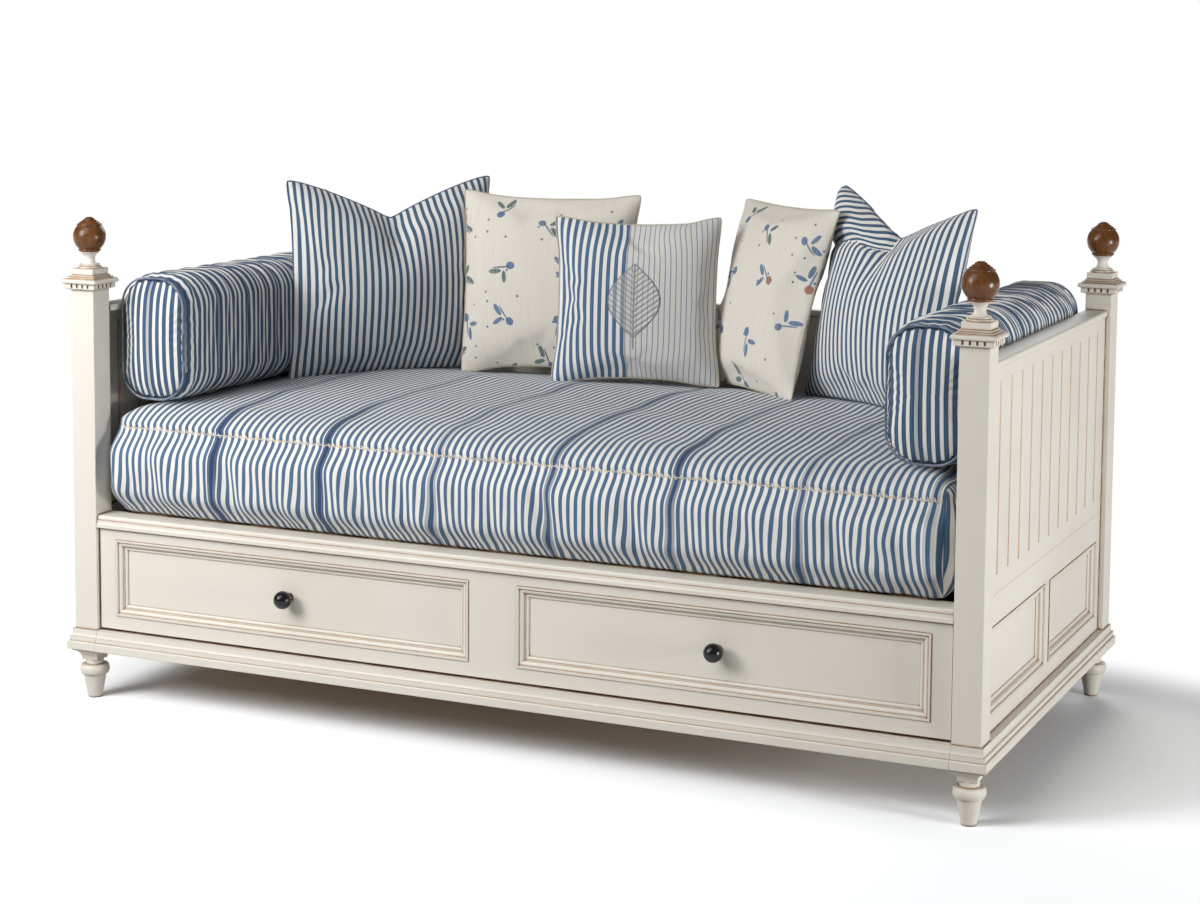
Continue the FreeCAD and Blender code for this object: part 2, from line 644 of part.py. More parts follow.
def slide_member(sx, plate, depth, half_height, opens_in):
    """One slide channel: an upright plate at a distance from the middle, with two flanges."""
    y0 = SLIDE_Y
    y1 = SLIDE_Y + SLIDE_L
    away = plate + SLIDE_SHEET if opens_in else plate
    near = away - depth if opens_in else plate + depth
    z0 = SLIDE_Z - half_height
    pieces = [block(sx * plate, sx * (plate + SLIDE_SHEET), y0, y1, z0, SLIDE_Z + half_height)]
    for s in (-1, 1):
        edge = SLIDE_Z + s * half_height
        pieces.append(block(sx * away, sx * near, y0, y1, edge, edge - s * SLIDE_SHEET))
    return pieces[0].fuse(pieces[1:]).removeSplitter()


def slide_set(sx):
    """Outer, middle and inner member of one slide, nested in each other."""
    step = SLIDE_SHEET + SLIDE_PLAY
    half = SLIDE_H / 2
    depth = SLIDE_SPACE - SLIDE_LIP
    outer = slide_member(sx, BATTEN_IN - SLIDE_SHEET, depth, half, True)
    middle = slide_member(sx, BATTEN_IN - SLIDE_SHEET - step, depth - step, half - step, True)
    inner = slide_member(sx, BOX_HALF, SLIDE_SPACE - 2 * step, half - 2 * step, False)
    return {"outer": outer, "middle": middle, "inner": inner}


def runner_battens():
    """Battens on the end frames that carry the slides."""
    half = BATTEN_H / 2
    return [block(s * BATTEN_IN, s * END_IN, -IN_Y, IN_Y, SLIDE_Z - half, SLIDE_Z + half) for s in (-1, 1)]


def knob_places():
    """The middle of each recessed panel of the drawer front."""
    z = (FRONT_PANEL_Z[0] + FRONT_PANEL_Z[1]) / 2
    return [((x0 + x1) / 2, z) for x0, x1 in FRONT_PANELS]


def bottom_slot():
    """The drawer bottom's grooves as one plate, with its play."""
    z0 = BOX_Z + BOTTOM_UP - BOTTOM_PLAY
    half = BOX_IN + BOTTOM_IN + BOTTOM_PLAY
    y1 = BOX_BACK_Y - BOX_SIDE_T + BOTTOM_IN + BOTTOM_PLAY
    return block(-half, half, FRONT_BACK_Y - BOTTOM_IN, y1, z0, z0 + BOTTOM_T + 2 * BOTTOM_PLAY)


def drawer_bottom():
    """Bottom board of the drawer, let into the sides, front and back."""
    z0 = BOX_Z + BOTTOM_UP
    half = BOX_IN + BOTTOM_IN
    y1 = BOX_BACK_Y - BOX_SIDE_T + BOTTOM_IN
    return block(-half, half, FRONT_BACK_Y - BOTTOM_IN + BOTTOM_PLAY, y1, z0, z0 + BOTTOM_T)


def drawer_front():
    """Drawer front with two recessed panels, screw holes for the knobs and a groove for the bottom."""
    board = block(-FRONT_HALF_L, FRONT_HALF_L, FACE_Y, FRONT_BACK_Y, FRONT_Z, FRONT_TOP)
    cuts = [block(x0, x1, -OUT_Y, PANEL_FLOOR_Y, *FRONT_PANEL_Z) for x0, x1 in FRONT_PANELS]
    through = FRONT_RECESS + 2 * FRONT_T
    for x, z in knob_places():
        cuts.append(Part.makeCylinder(SCREW_R + SCREW_PLAY, through, V(x, -OUT_Y, z), V(0, 1, 0)))
    return board.cut(cuts).cut(bottom_slot())


def drawer_side(sx):
    """Side of the drawer box, grooved for the bottom."""
    side = block(sx * BOX_IN, sx * BOX_HALF, FRONT_BACK_Y, BOX_BACK_Y, BOX_Z, BOX_TOP)
    return side.cut(bottom_slot())


def drawer_back():
    """Back of the drawer box, between the sides."""
    back = block(-BOX_IN, BOX_IN, BOX_BACK_Y - BOX_SIDE_T, BOX_BACK_Y, BOX_Z, BOX_TOP)
    return back.cut(bottom_slot())


def knob():
    """Round knob turned about its own axis, seated on the panel floor and pointing to the front."""
    middle = KNOB_REACH - KNOB_R
    neck = middle - math.sqrt(KNOB_R ** 2 - KNOB_STEM_R ** 2)
    body = turned([
        (0, 0), (KNOB_ROSE_R, 0), (KNOB_ROSE_R, KNOB_ROSE_H), (KNOB_STEM_R, 2 * KNOB_ROSE_H),
        (KNOB_STEM_R, neck), (KNOB_R, middle, 0, KNOB_REACH)])
    body = body.cut(Part.makeCylinder(SCREW_R + SCREW_PLAY, SCREW_IN + SPIGOT_END_PLAY))
    body.rotate(V(0, 0, 0), V(1, 0, 0), 90)
    return body


def knob_screws():
    """The screws that hold the knobs from inside the drawer."""
    screws = []
    for x, z in knob_places():
        head = Part.makeCylinder(SCREW_HEAD_R, SCREW_HEAD_H, V(x, FRONT_BACK_Y, z), V(0, 1, 0))
        length = FRONT_BACK_Y - PANEL_FLOOR_Y + SCREW_IN
        shank = Part.makeCylinder(SCREW_R, length, V(x, FRONT_BACK_Y, z), V(0, -1, 0))
        screws.append(head.fuse(shank).removeSplitter())
    return screws


def mattress():
    """Plump mattress with rounded corners and a softly rolled top edge."""
    half = IN_X - MATTRESS_ENDS
    body = block(-half, half, -OUT_Y + MATTRESS_FRONT, BACK_BOARD_IN - MATTRESS_BACK, MATTRESS_Z, MATTRESS_TOP)
    body = rounded(body, MATTRESS_CORNER_R, runs_along(V(0, 0, 1)))
    top = [e for e in body.Edges if e.BoundBox.ZMin > MATTRESS_TOP - TOUCH]
    body = body.makeFillet(MATTRESS_TOP_R, top)
    low = [e for e in body.Edges if e.BoundBox.ZMax < MATTRESS_Z + TOUCH]
    return body.makeFillet(MATTRESS_LOW_R, low)


def bolster(sx):
    """Upright oval bolster beside an end panel, lying on the mattress."""
    z0 = MATTRESS_TOP + SOFT_GAP
    half = IN_Y - BOLSTER_ENDS
    body = block(sx * BOLSTER_IN_X, sx * BOLSTER_OUT_X, -half, half, z0, z0 + BOLSTER_H)
    body = rounded(body, BOLSTER_R, runs_along(V(0, 1, 0)))
    ends = [e for e in body.Edges if abs(abs(e.BoundBox.Center.y) - half) < TOUCH]
    return body.makeFillet(BOLSTER_END_R, ends)


def lens(size, thick):
    """Outline of a pillow's section: two bowed faces meeting at blunt edges."""
    half = size / 2
    edge = CUSHION_EDGE / 2
    return [(-half, -edge), (0, -thick / 2, half, -edge), (half, edge), (0, thick / 2, -half, edge)]


def pulled_side(half_run, half_off):
    """Round cutter, axis along Y, that draws one side in between two corners; the side faces +Z."""
    radius = (half_run ** 2 + CUSHION_EAR ** 2) / (2 * CUSHION_EAR)
    start = V(0, -half_run, half_off - CUSHION_EAR + radius)
    return Part.makeCylinder(radius, 2 * half_run, start, V(0, 1, 0))


def pillow(width, height, thick, notch):
    """Square pillow standing in the XZ plane on its lower corners, with an optional chopped top."""
    across = outline_face(lens(width, thick), lambda a, t: V(a, t, -height)).extrude(V(0, 0, 2 * height))
    upright = outline_face(lens(height, thick), lambda a, t: V(-width, t, a)).extrude(V(2 * width, 0, 0))
    body = across.common(upright)
    for turn in QUARTERS:
        run, off = (height, width) if turn % 180 else (width, height)
        cutter = pulled_side(run / 2, off / 2)
        cutter.rotate(V(0, 0, 0), V(0, 1, 0), turn)
        body = body.cut(cutter)
    if notch:
        top = height / 2
        chop = [V(-width / 2, -thick, top), V(0, -thick, top - notch), V(width / 2, -thick, top)]
        body = body.cut(Part.Face(Part.makePolygon(chop + chop[:1])).extrude(V(0, 2 * thick, 0)))
    return moved(body, 0, 0, height / 2)


def cushion(width, height, thick, notch, along, forward, turn, lean):
    """One loose cushion, leaned back and turned about its lower edge."""
    body = pillow(*[CLEAR_SEAT * share for share in (width, height, thick, notch)])
    body.rotate(V(0, 0, 0), V(1, 0, 0), -lean)
    body.rotate(V(0, 0, 0), V(0, 0, 1), turn)
    lift = CUSHION_EDGE / 2 * math.sin(math.radians(lean))
    y = BACK_CAP_IN - CUSHION_ROW - CLEAR_SEAT * forward
    body.translate(V(CLEAR_SEAT * along, y, MATTRESS_TOP + SOFT_GAP + lift))
    return body


def main():
    """Write every piece of the daybed."""
    os.makedirs("parts", exist_ok=True)
    foot_shape = foot()
    capital_shape = capital()
    ball_shape = ball()
    for name, (sx, sy) in CORNERS.items():
        x = sx * HALF_L
        y = sy * HALF_D
        save("foot_" + name, moved(foot_shape, x, y))
        save("post_" + name, post(sx, sy))
        save("capital_" + name, moved(capital_shape, x, y))
        save("ball_" + name, moved(ball_shape, x, y))
    save("plinth_corners", *[plinth_corner(sx, sy) for sx, sy in CORNERS.values()])
    save("base_rail_front", base_rail_long(-1))
    save("base_rail_back", base_rail_long(1))
    save("seat_rail_front", seat_rail_front())
    save("seat_rail_back", seat_rail_back())
    save("slats", *slats())
    save("slat_cleats", *slat_cleats())
    save("end_mouldings", *end_mouldings())
    save("back_lower", back_lower())
    save("back_board", back_board())
    save("back_cap", back_cap())
    save("runner_battens", *runner_battens())
    save("rail_dowels", *dowels(0, 0))
    for side, sx in SIDES.items():
        save("base_rail_" + side, base_rail_end(sx))
        save("end_frame_" + side, end_frame(sx))
        save("end_board_" + side, grooved_board(sx))
        save("end_cap_" + side, end_cap(sx))
        save("bolster_" + side, bolster(sx))
        save("drawer_side_" + side, drawer_side(sx))
        for member, shape in slide_set(sx).items():
            save("slide_" + member + "_" + side, shape)
    save("drawer_front", drawer_front())
    save("drawer_back", drawer_back())
    save("drawer_bottom", drawer_bottom())
    save("drawer_mouldings", *[s for span in FRONT_PANELS
                               for s in hung_frame(span, FRONT_PANEL_Z, PANEL_FLOOR_Y, "front")])
    for side, (x, z) in zip(SIDES, knob_places()):
        save("knob_" + side, moved(knob(), x, PANEL_FLOOR_Y, z))
    save("knob_screws", *knob_screws())
    save("mattress", mattress())
    for name, sizes in CUSHIONS.items():
        save(name, cushion(*sizes))


main()
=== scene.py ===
"""Looks of a painted wooden daybed with a trundle drawer, striped bedding and loose cushions.

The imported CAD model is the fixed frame, in metres. The joinery keeps its CAD meshes and gets finishes here;
the mattress, the bolsters and the cushions are sewn and stuffed here and stand for their CAD solids.
"""
import json
import logging
import math
from dataclasses import dataclass, field
from enum import Enum
from functools import partialmethod
from typing import Callable, ClassVar, Optional, Sequence

import bpy
import numpy as np
from mathutils import Matrix, Vector


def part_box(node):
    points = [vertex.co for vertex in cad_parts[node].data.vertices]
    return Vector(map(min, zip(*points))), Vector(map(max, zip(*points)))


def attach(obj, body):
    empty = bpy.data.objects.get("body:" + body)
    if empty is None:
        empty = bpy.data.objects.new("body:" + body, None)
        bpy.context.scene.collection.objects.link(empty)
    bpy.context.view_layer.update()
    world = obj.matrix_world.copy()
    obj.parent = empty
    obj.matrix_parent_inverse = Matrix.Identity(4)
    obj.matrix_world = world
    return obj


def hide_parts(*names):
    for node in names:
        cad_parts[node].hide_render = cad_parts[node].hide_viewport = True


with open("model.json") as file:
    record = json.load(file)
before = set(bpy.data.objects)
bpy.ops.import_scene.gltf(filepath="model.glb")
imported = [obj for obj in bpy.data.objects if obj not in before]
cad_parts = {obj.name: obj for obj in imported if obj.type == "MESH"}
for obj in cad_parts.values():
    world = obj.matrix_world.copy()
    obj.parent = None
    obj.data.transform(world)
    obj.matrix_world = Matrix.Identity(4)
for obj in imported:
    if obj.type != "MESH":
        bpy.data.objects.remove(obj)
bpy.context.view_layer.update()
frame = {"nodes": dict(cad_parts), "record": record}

LOG = logging.getLogger("daybed")
SEED = 7

Socket = bpy.types.NodeSocket
Material = bpy.types.Material
Piece = bpy.types.Object
Rows = np.ndarray
Span = tuple[float, float]
Colour = Spot = tuple[float, float, float]
Inputs = Optional[dict[str | int, object]]


class Slot(Enum):
    """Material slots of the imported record."""

    PAINT = "painted_wood"
    TURNED = "turned_wood"
    PINE = "plain_wood"
    ZINC = "zinc_steel"
    KNOB = "black_knob"
    TICKING = "striped_ticking"
    PRINT = "printed_linen"
    PATCH = "patched_ticking"


class Shader:
    """One material or world under construction: its surface and the nodes that feed it."""

    def __init__(self, name: str, kind: str = "materials", surface: str = "Principled BSDF") -> None:
        """Start a material, or a world, with that name."""
        self.material = getattr(bpy.data, kind).new(name)
        self.material.use_nodes = True
        self.tree = self.material.node_tree
        self.surface = self.tree.nodes[surface]

    def node(self, kind: str, inputs: Inputs = None, **settings: object) -> bpy.types.Node:
        """Add a node.

        Args:
            kind: the node's type without the ShaderNode prefix.
            inputs: what its inputs get, by name or number: a socket or a plain value.
            settings: attributes set on the node.

        Returns:
            The new node.
        """
        made = self.tree.nodes.new("ShaderNode" + kind)
        for key, value in settings.items():
            setattr(made, key, value)
        for key, value in (inputs or {}).items():
            self.feed(made.inputs[key], value)
        return made

    def feed(self, target: Socket, value: object) -> None:
        """Link a socket to the target, or set the target to a plain value."""
        if isinstance(value, bpy.types.NodeSocket):
            self.tree.links.new(value, target)
        else:
            target.default_value = value

    def place(self, uv: bool) -> Socket:
        """The surface's own coordinates in metres: its UV map, or Object coordinates."""
        return self.node("TexCoord").outputs["UV" if uv else "Object"]

    def scaled(self, vector: Socket, scale: Sequence[float]) -> Socket:
        """Coordinates stretched by a factor along each axis."""
        return self.node("Mapping", {"Vector": vector, "Scale": scale}).outputs["Vector"]

    def math(self, operation: str, a: object, b: object = 0.0) -> Socket:
        """The result of one math node."""
        return self.node("Math", {0: a, 1: b}, operation=operation).outputs[0]

    plus = partialmethod(math, "ADD")
    minus = partialmethod(math, "SUBTRACT")
    times = partialmethod(math, "MULTIPLY")
    over = partialmethod(math, "DIVIDE")
    most = partialmethod(math, "MAXIMUM")
    size = partialmethod(math, "ABSOLUTE")
    above = partialmethod(math, "GREATER_THAN")

    def axes(self, vector: Socket) -> tuple[Socket, Socket, Socket]:
        """The three parts of a vector."""
        x, y, z = self.node("SeparateXYZ", {0: vector}).outputs
        return x, y, z

    def noise(self, vector: Socket, scale: float, detail: float = 3.0, rough: float = 0.5) -> Socket:
        """A cloud pattern from 0 to 1."""
        inputs = {"Vector": vector, "Scale": scale, "Detail": detail, "Roughness": rough}
        return self.node("TexNoise", inputs).outputs["Fac"]

    def ramp(self, value: Socket, low: float, high: float, start: float = 0.0, end: float = 1.0) -> Socket:
        """A value eased from start to end while the input goes from low to high."""
        inputs = dict(enumerate((value, low, high, start, end)))
        return self.node("MapRange", inputs, interpolation_type="SMOOTHSTEP").outputs["Result"]

    def blend(self, share: object, a: object, b: object) -> Socket:
        """Two colours mixed by a share."""
        a, b = ((*tone, 1.0) if isinstance(tone, tuple) else tone for tone in (a, b))
        return self.node("Mix", {"Factor": share, 6: a, 7: b}, data_type="RGBA").outputs[2]

    def bump(self, height: Socket, strength: float, distance: float,
             normal: Optional[Socket] = None) -> Socket:
        """A normal raised by a height pattern."""
        made = self.node("Bump", {"Strength": strength, "Distance": distance, "Height": height})
        if normal is not None:
            self.feed(made.inputs["Normal"], normal)
        return made.outputs["Normal"]

    def set(self, **inputs: object) -> None:
        """Feed the surface's own inputs, with underscores for the spaces in their names."""
        for key, value in inputs.items():
            full = (*value, 1.0) if isinstance(value, tuple) and len(value) == 3 else value
            self.feed(self.surface.inputs[key.replace("_", " ")], full)


@dataclass(frozen=True)
class Finish:
    """A finish of the library: each kind joins its own nodes to the surface."""

    name: str
    sewn: ClassVar[bool] = False

    def lay(self, s: Shader, where: Socket) -> None:
        """Join the finish's nodes to the surface.

        Args:
            s: the material.
            where: the surface's own coordinates in metres.
        """
        raise NotImplementedError

    def make(self) -> Material:
        """Build the material."""
        s = Shader(self.name)
        self.lay(s, s.place(uv=self.sewn))
        return s.material


@dataclass(frozen=True)
class AgedPaint(Finish):
    """Off-white paint, brushed on, with a brown glaze left in the quirks and on rubbed edges."""

    name: str = "aged_paint"
    paint: Colour = (0.770, 0.731, 0.648)
    warm: Colour = (0.692, 0.650, 0.556)
    glaze: Colour = (0.265, 0.135, 0.052)
    rub: Colour = (0.440, 0.250, 0.108)
    quirk: float = 0.007
    edge: float = 0.0018
    grooved: bool = False

    def lay(self, s: Shader, where: Socket) -> None:
        """Lay the finish on."""
        cloud = s.noise(where, 3.5, 3.0, 0.5)
        brush = s.noise(s.scaled(where, (30.0, 30.0, 260.0)), 1.0, 3.0, 0.6)
        tone = s.blend(s.ramp(cloud, 0.40, 0.80, 0.0, 0.55), self.paint, self.warm)
        tone = s.blend(s.ramp(brush, 0.45, 0.8, 0.0, 0.10), tone, self.warm)
        shade = s.node("AmbientOcclusion", {"Distance": self.quirk}, samples=8)
        patch = s.noise(where, 45.0, 3.0, 0.6)
        deep = s.ramp(shade.outputs["AO"], 0.86, 0.58)
        deep = s.times(deep, s.ramp(patch, 0.25, 0.6, 0.60, 1.0))
        tone = s.blend(deep, tone, self.glaze)
        faces = s.node("NewGeometry")
        if self.grooved:
            _, lengthwise, _ = s.axes(faces.outputs["True Normal"])
            slant = s.size(lengthwise)
            wall = s.times(s.ramp(slant, 0.2, 0.4), s.ramp(slant, 0.95, 0.85))
            tone = s.blend(s.times(wall, s.ramp(patch, 0.2, 0.6, 0.55, 0.85)), tone, self.rub)
        soft = s.node("Bevel", {"Radius": self.edge}, samples=6)
        normals = {0: soft.outputs["Normal"], 1: faces.outputs["Normal"]}
        across = s.node("VectorMath", normals, operation="DOT_PRODUCT")
        rim = s.ramp(across.outputs["Value"], 0.992, 0.90)
        rim = s.times(rim, s.ramp(s.noise(where, 16.0, 5.0, 0.7), 0.28, 0.50))
        tone = s.blend(s.times(rim, 0.9), tone, self.rub)
        s.set(Base_Color=tone, Roughness=s.ramp(cloud, 0.2, 0.8, 0.38, 0.50), Specular_IOR_Level=0.45)
        s.set(Normal=s.bump(brush, 0.06, 0.0005, soft.outputs["Normal"]))


@dataclass(frozen=True)
class PolishedBrown(Finish):
    """Dark brown turned wood under a gloss polish."""

    name: str = "polished_brown"
    dark: Colour = (0.052, 0.017, 0.005)
    light: Colour = (0.205, 0.076, 0.021)

    def lay(self, s: Shader, where: Socket) -> None:
        """Lay the finish on."""
        grain = s.noise(s.scaled(where, (120.0, 120.0, 14.0)), 1.0, 3.0, 0.5)
        cloud = s.noise(where, 14.0, 2.0)
        tone = s.blend(s.ramp(grain, 0.15, 0.85, 0.3, 0.9), self.dark, self.light)
        tone = s.blend(s.ramp(cloud, 0.4, 0.8, 0.0, 0.35), tone, self.dark)
        s.set(Base_Color=tone, Roughness=s.ramp(grain, 0.2, 0.8, 0.26, 0.34), Specular_IOR_Level=0.25,
              Coat_Weight=0.2, Coat_Roughness=0.16)
        s.set(Normal=s.bump(grain, 0.01, 0.0001))


@dataclass(frozen=True)
class BarePine(Finish):
    """Sanded softwood of the parts that are not painted."""

    name: str = "bare_pine"
    pale: Colour = (0.62, 0.42, 0.22)
    late: Colour = (0.42, 0.235, 0.10)

    def lay(self, s: Shader, where: Socket) -> None:
        """Lay the finish on."""
        sway = s.noise(where, 2.2, 2.0)
        x, y, z = s.axes(where)
        ring = s.plus(s.times(z, 95.0), s.times(sway, 14.0))
        ring = s.plus(ring, s.times(s.plus(x, y), 3.0))
        year = s.math("FRACT", ring)
        fibre = s.noise(s.scaled(where, (25.0, 25.0, 900.0)), 1.0, 4.0, 0.6)
        tone = s.blend(s.ramp(year, 0.45, 0.97, 0.0, 0.75), self.pale, self.late)
        tone = s.blend(s.ramp(fibre, 0.35, 0.75, 0.0, 0.3), tone, self.late)
        s.set(Base_Color=tone, Roughness=s.ramp(fibre, 0.2, 0.8, 0.55, 0.72))
        s.set(Normal=s.bump(fibre, 0.12, 0.0005))


@dataclass(frozen=True)
class ZincPlate(Finish):
    """Zinc plated sheet steel of the slides and screws."""

    name: str = "zinc_plate"
    bright: Colour = (0.60, 0.62, 0.64)
    dull: Colour = (0.42, 0.44, 0.46)

    def lay(self, s: Shader, where: Socket) -> None:
        """Lay the finish on."""
        drawn = s.noise(s.scaled(where, (500.0, 12.0, 500.0)), 1.0, 3.0)
        bloom = s.noise(where, 45.0, 4.0, 0.7)
        tone = s.blend(s.ramp(bloom, 0.35, 0.7), self.bright, self.dull)
        s.set(Base_Color=tone, Metallic=1.0, Roughness=s.ramp(drawn, 0.2, 0.8, 0.26, 0.44))
        s.set(Normal=s.bump(drawn, 0.05, 0.0002))


@dataclass(frozen=True)
class BlackLacquer(Finish):
    """Satin black of the knobs, rubbed a little brown."""

    name: str = "black_lacquer"
    black: Colour = (0.004, 0.004, 0.004)
    worn: Colour = (0.012, 0.009, 0.007)

    def lay(self, s: Shader, where: Socket) -> None:
        """Lay the finish on."""
        cloud = s.noise(where, 70.0, 4.0, 0.6)
        tone = s.blend(s.ramp(cloud, 0.5, 0.8), self.black, self.worn)
        s.set(Base_Color=tone, Roughness=s.ramp(cloud, 0.2, 0.8, 0.20, 0.32), Specular_IOR_Level=0.4)
        s.set(Normal=s.bump(cloud, 0.01, 0.0001))


@dataclass(frozen=True)
class Woven(Finish):
    """A cloth on its UV map: fine rows of warp and weft with uneven slubs, and a short nap."""

    rough: float = 0.86
    nap: float = 0.12
    nap_rough: float = 0.45
    gloss: float = 0.25
    sewn: ClassVar[bool] = True
    warp: ClassVar[float] = 1400.0
    weft: ClassVar[float] = 1150.0
    slubs: ClassVar[float] = 1.6

    def threads(self, s: Shader, where: Socket) -> tuple[Socket, Socket]:
        """Add the thread pattern.

        Args:
            s: the material.
            where: the cloth's own coordinates in metres.

        Returns:
            The height of the threads, and streaks of uneven dye along the warp.
        """
        u, v, _ = s.axes(where)
        over = s.math("SINE", s.times(u, self.warp * math.pi))
        under = s.math("SINE", s.times(v, self.weft * math.pi))
        streak = s.noise(s.scaled(where, (420.0, 9.0, 1.0)), 1.0, 4.0, 0.65)
        slub = s.noise(s.scaled(where, (60.0, 700.0, 1.0)), 1.0, 3.0, 0.6)
        height = s.plus(s.times(over, under), s.times(s.plus(streak, slub), self.slubs))
        return height, streak

    def cover(self, s: Shader, tone: Socket, normal: Socket) -> None:
        """Give the surface its colour, its nap and its threads."""
        s.set(Base_Color=tone, Roughness=self.rough, Sheen_Weight=self.nap, Sheen_Roughness=self.nap_rough,
              Specular_IOR_Level=self.gloss, Normal=normal)


@dataclass(frozen=True)
class Ticking(Woven):
    """Blue and cream striped ticking; the stripes run along the cloth's V."""

    name: str = "ticking"
    cream: Colour = (0.845, 0.828, 0.790)
    blue: Colour = (0.045, 0.108, 0.218)
    pale_blue: Colour = (0.130, 0.218, 0.335)
    navy: Colour = (0.022, 0.058, 0.145)
    pitch: float = 0.0165
    stripe: float = 0.47
    wide_every: int = 16
    wide: float = 1.15

    def stripes(self, s: Shader, where: Socket, streak: Socket) -> Socket:
        """The striped colour.

        Args:
            s: the material.
            where: the cloth's own coordinates in metres.
            streak: uneven dye along the threads.

        Returns:
            The colour socket.
        """
        u, _, _ = s.axes(where)
        step = s.math("FRACT", s.over(u, self.pitch))
        off = s.size(s.minus(step, 0.5))
        half = self.stripe / 2.0
        line = s.ramp(off, half + 0.035, half - 0.035)
        core = s.ramp(off, half - 0.02, half - 0.14)
        hue = s.blend(s.times(core, s.ramp(streak, 0.25, 0.8, 0.15, 0.85)), self.blue, self.pale_blue)
        ground = s.blend(s.ramp(streak, 0.55, 0.85, 0.0, 0.22), self.cream, self.pale_blue)
        tone = s.blend(line, ground, hue)
        if self.wide_every:
            run = s.plus(s.over(u, self.pitch * self.wide_every), 0.5 / self.wide_every)
            far = s.size(s.minus(s.math("FRACT", run), 0.5))
            reach = self.wide / 2.0 / self.wide_every
            band = s.ramp(far, reach + 0.002, reach - 0.002)
            dye = s.noise(s.scaled(where, (2.3, 1.1, 1.0)), 1.0, 2.0)
            band = s.times(band, s.ramp(dye, 0.40, 0.62, 0.35, 1.0))
            tone = s.blend(s.times(band, s.ramp(streak, 0.2, 0.8, 1.0, 0.8)), tone, self.navy)
        return tone

    def lay(self, s: Shader, where: Socket) -> None:
        """Lay the finish on."""
        height, streak = self.threads(s, where)
        tone = self.stripes(s, where, streak)
        self.cover(s, tone, s.bump(height, 0.25, 0.0004))


@dataclass(frozen=True)
class SprigLinen(Woven):
    """Cream linen with loose printed sprigs of two leaves and a bud, in three inks."""

    name: str = "sprig_linen"
    rough: float = 0.88
    nap: float = 0.10
    nap_rough: float = 0.5
    ground: Colour = (0.80, 0.755, 0.68)
    shade: Colour = (0.73, 0.675, 0.585)
    blue: Colour = (0.050, 0.135, 0.29)
    green: Colour = (0.055, 0.125, 0.130)
    rust: Colour = (0.34, 0.12, 0.055)
    pitch: float = 0.118
    scatter: float = 0.55
    leaves: tuple[tuple[Span, Span], ...] = (((0.16, 0.05), (0.13, 0.05)), ((-0.02, 0.17), (0.045, 0.12)))
    stem: tuple[Span, Span] = ((0.02, -0.02), (0.20, 0.016))
    bud: tuple[Span, Span] = ((-0.16, -0.04), (0.085, 0.075))
    dot_pitch: float = 0.040
    dot_edge: Span = (0.085, 0.055)
    dots_left_out: float = 0.62
    rust_from: float = 0.68
    blue_leaf_from: float = 0.45

    def petal(self, s: Shader, local: Socket, at: Span, radii: Span) -> Socket:
        """A soft-edged oval in a sprig's own square, as a share from 0 to 1."""
        x, y, _ = s.axes(local)
        across = s.over(s.minus(x, at[0]), radii[0])
        up = s.over(s.minus(y, at[1]), radii[1])
        reach = s.plus(s.math("POWER", across, 2.0), s.math("POWER", up, 2.0))
        return s.ramp(reach, 1.15, 0.75)

    @staticmethod
    def sown(s: Shader, cells: Socket, scatter: float = 1.0) -> bpy.types.Node:
        """Loose places, one in each cell of the cloth."""
        inputs = {"Vector": cells, "Scale": 1.0, "Randomness": scatter}
        return s.node("TexVoronoi", inputs, voronoi_dimensions="2D")

    def lay(self, s: Shader, where: Socket) -> None:
        """Lay the finish on."""
        height, streak = self.threads(s, where)
        cells = s.scaled(where, (1.0 / self.pitch,) * 3)
        sprigs = self.sown(s, cells, self.scatter)
        local = s.node("VectorMath", {0: cells, 1: sprigs.outputs["Position"]}, operation="SUBTRACT")
        pick, turn, _ = s.axes(sprigs.outputs["Color"])
        turned = {"Vector": local.outputs[0], "Angle": s.times(turn, 2.0 * math.pi)}
        here = s.node("VectorRotate", turned, rotation_type="Z_AXIS").outputs[0]
        leaves = s.most(*(self.petal(s, here, *leaf) for leaf in self.leaves))
        stem = self.petal(s, here, *self.stem)
        bud = self.petal(s, here, *self.bud)
        wear = s.ramp(streak, 0.25, 0.75, 0.70, 1.0)
        spots = self.sown(s, s.scaled(where, (1.0 / self.dot_pitch,) * 3))
        some, _, _ = s.axes(spots.outputs["Color"])
        dots = s.times(s.ramp(spots.outputs["Distance"], *self.dot_edge), s.above(some, self.dots_left_out))
        ink = s.blend(s.above(pick, self.rust_from), self.blue, self.rust)
        leaf_ink = s.blend(s.above(pick, self.blue_leaf_from), self.green, self.blue)
        tone = s.blend(s.ramp(streak, 0.3, 0.8), self.ground, self.shade)
        for print_, colour in ((s.most(leaves, stem), leaf_ink), (bud, ink), (dots, self.blue)):
            tone = s.blend(s.times(print_, wear), tone, colour)
        self.cover(s, tone, s.bump(height, 0.32, 0.0005))


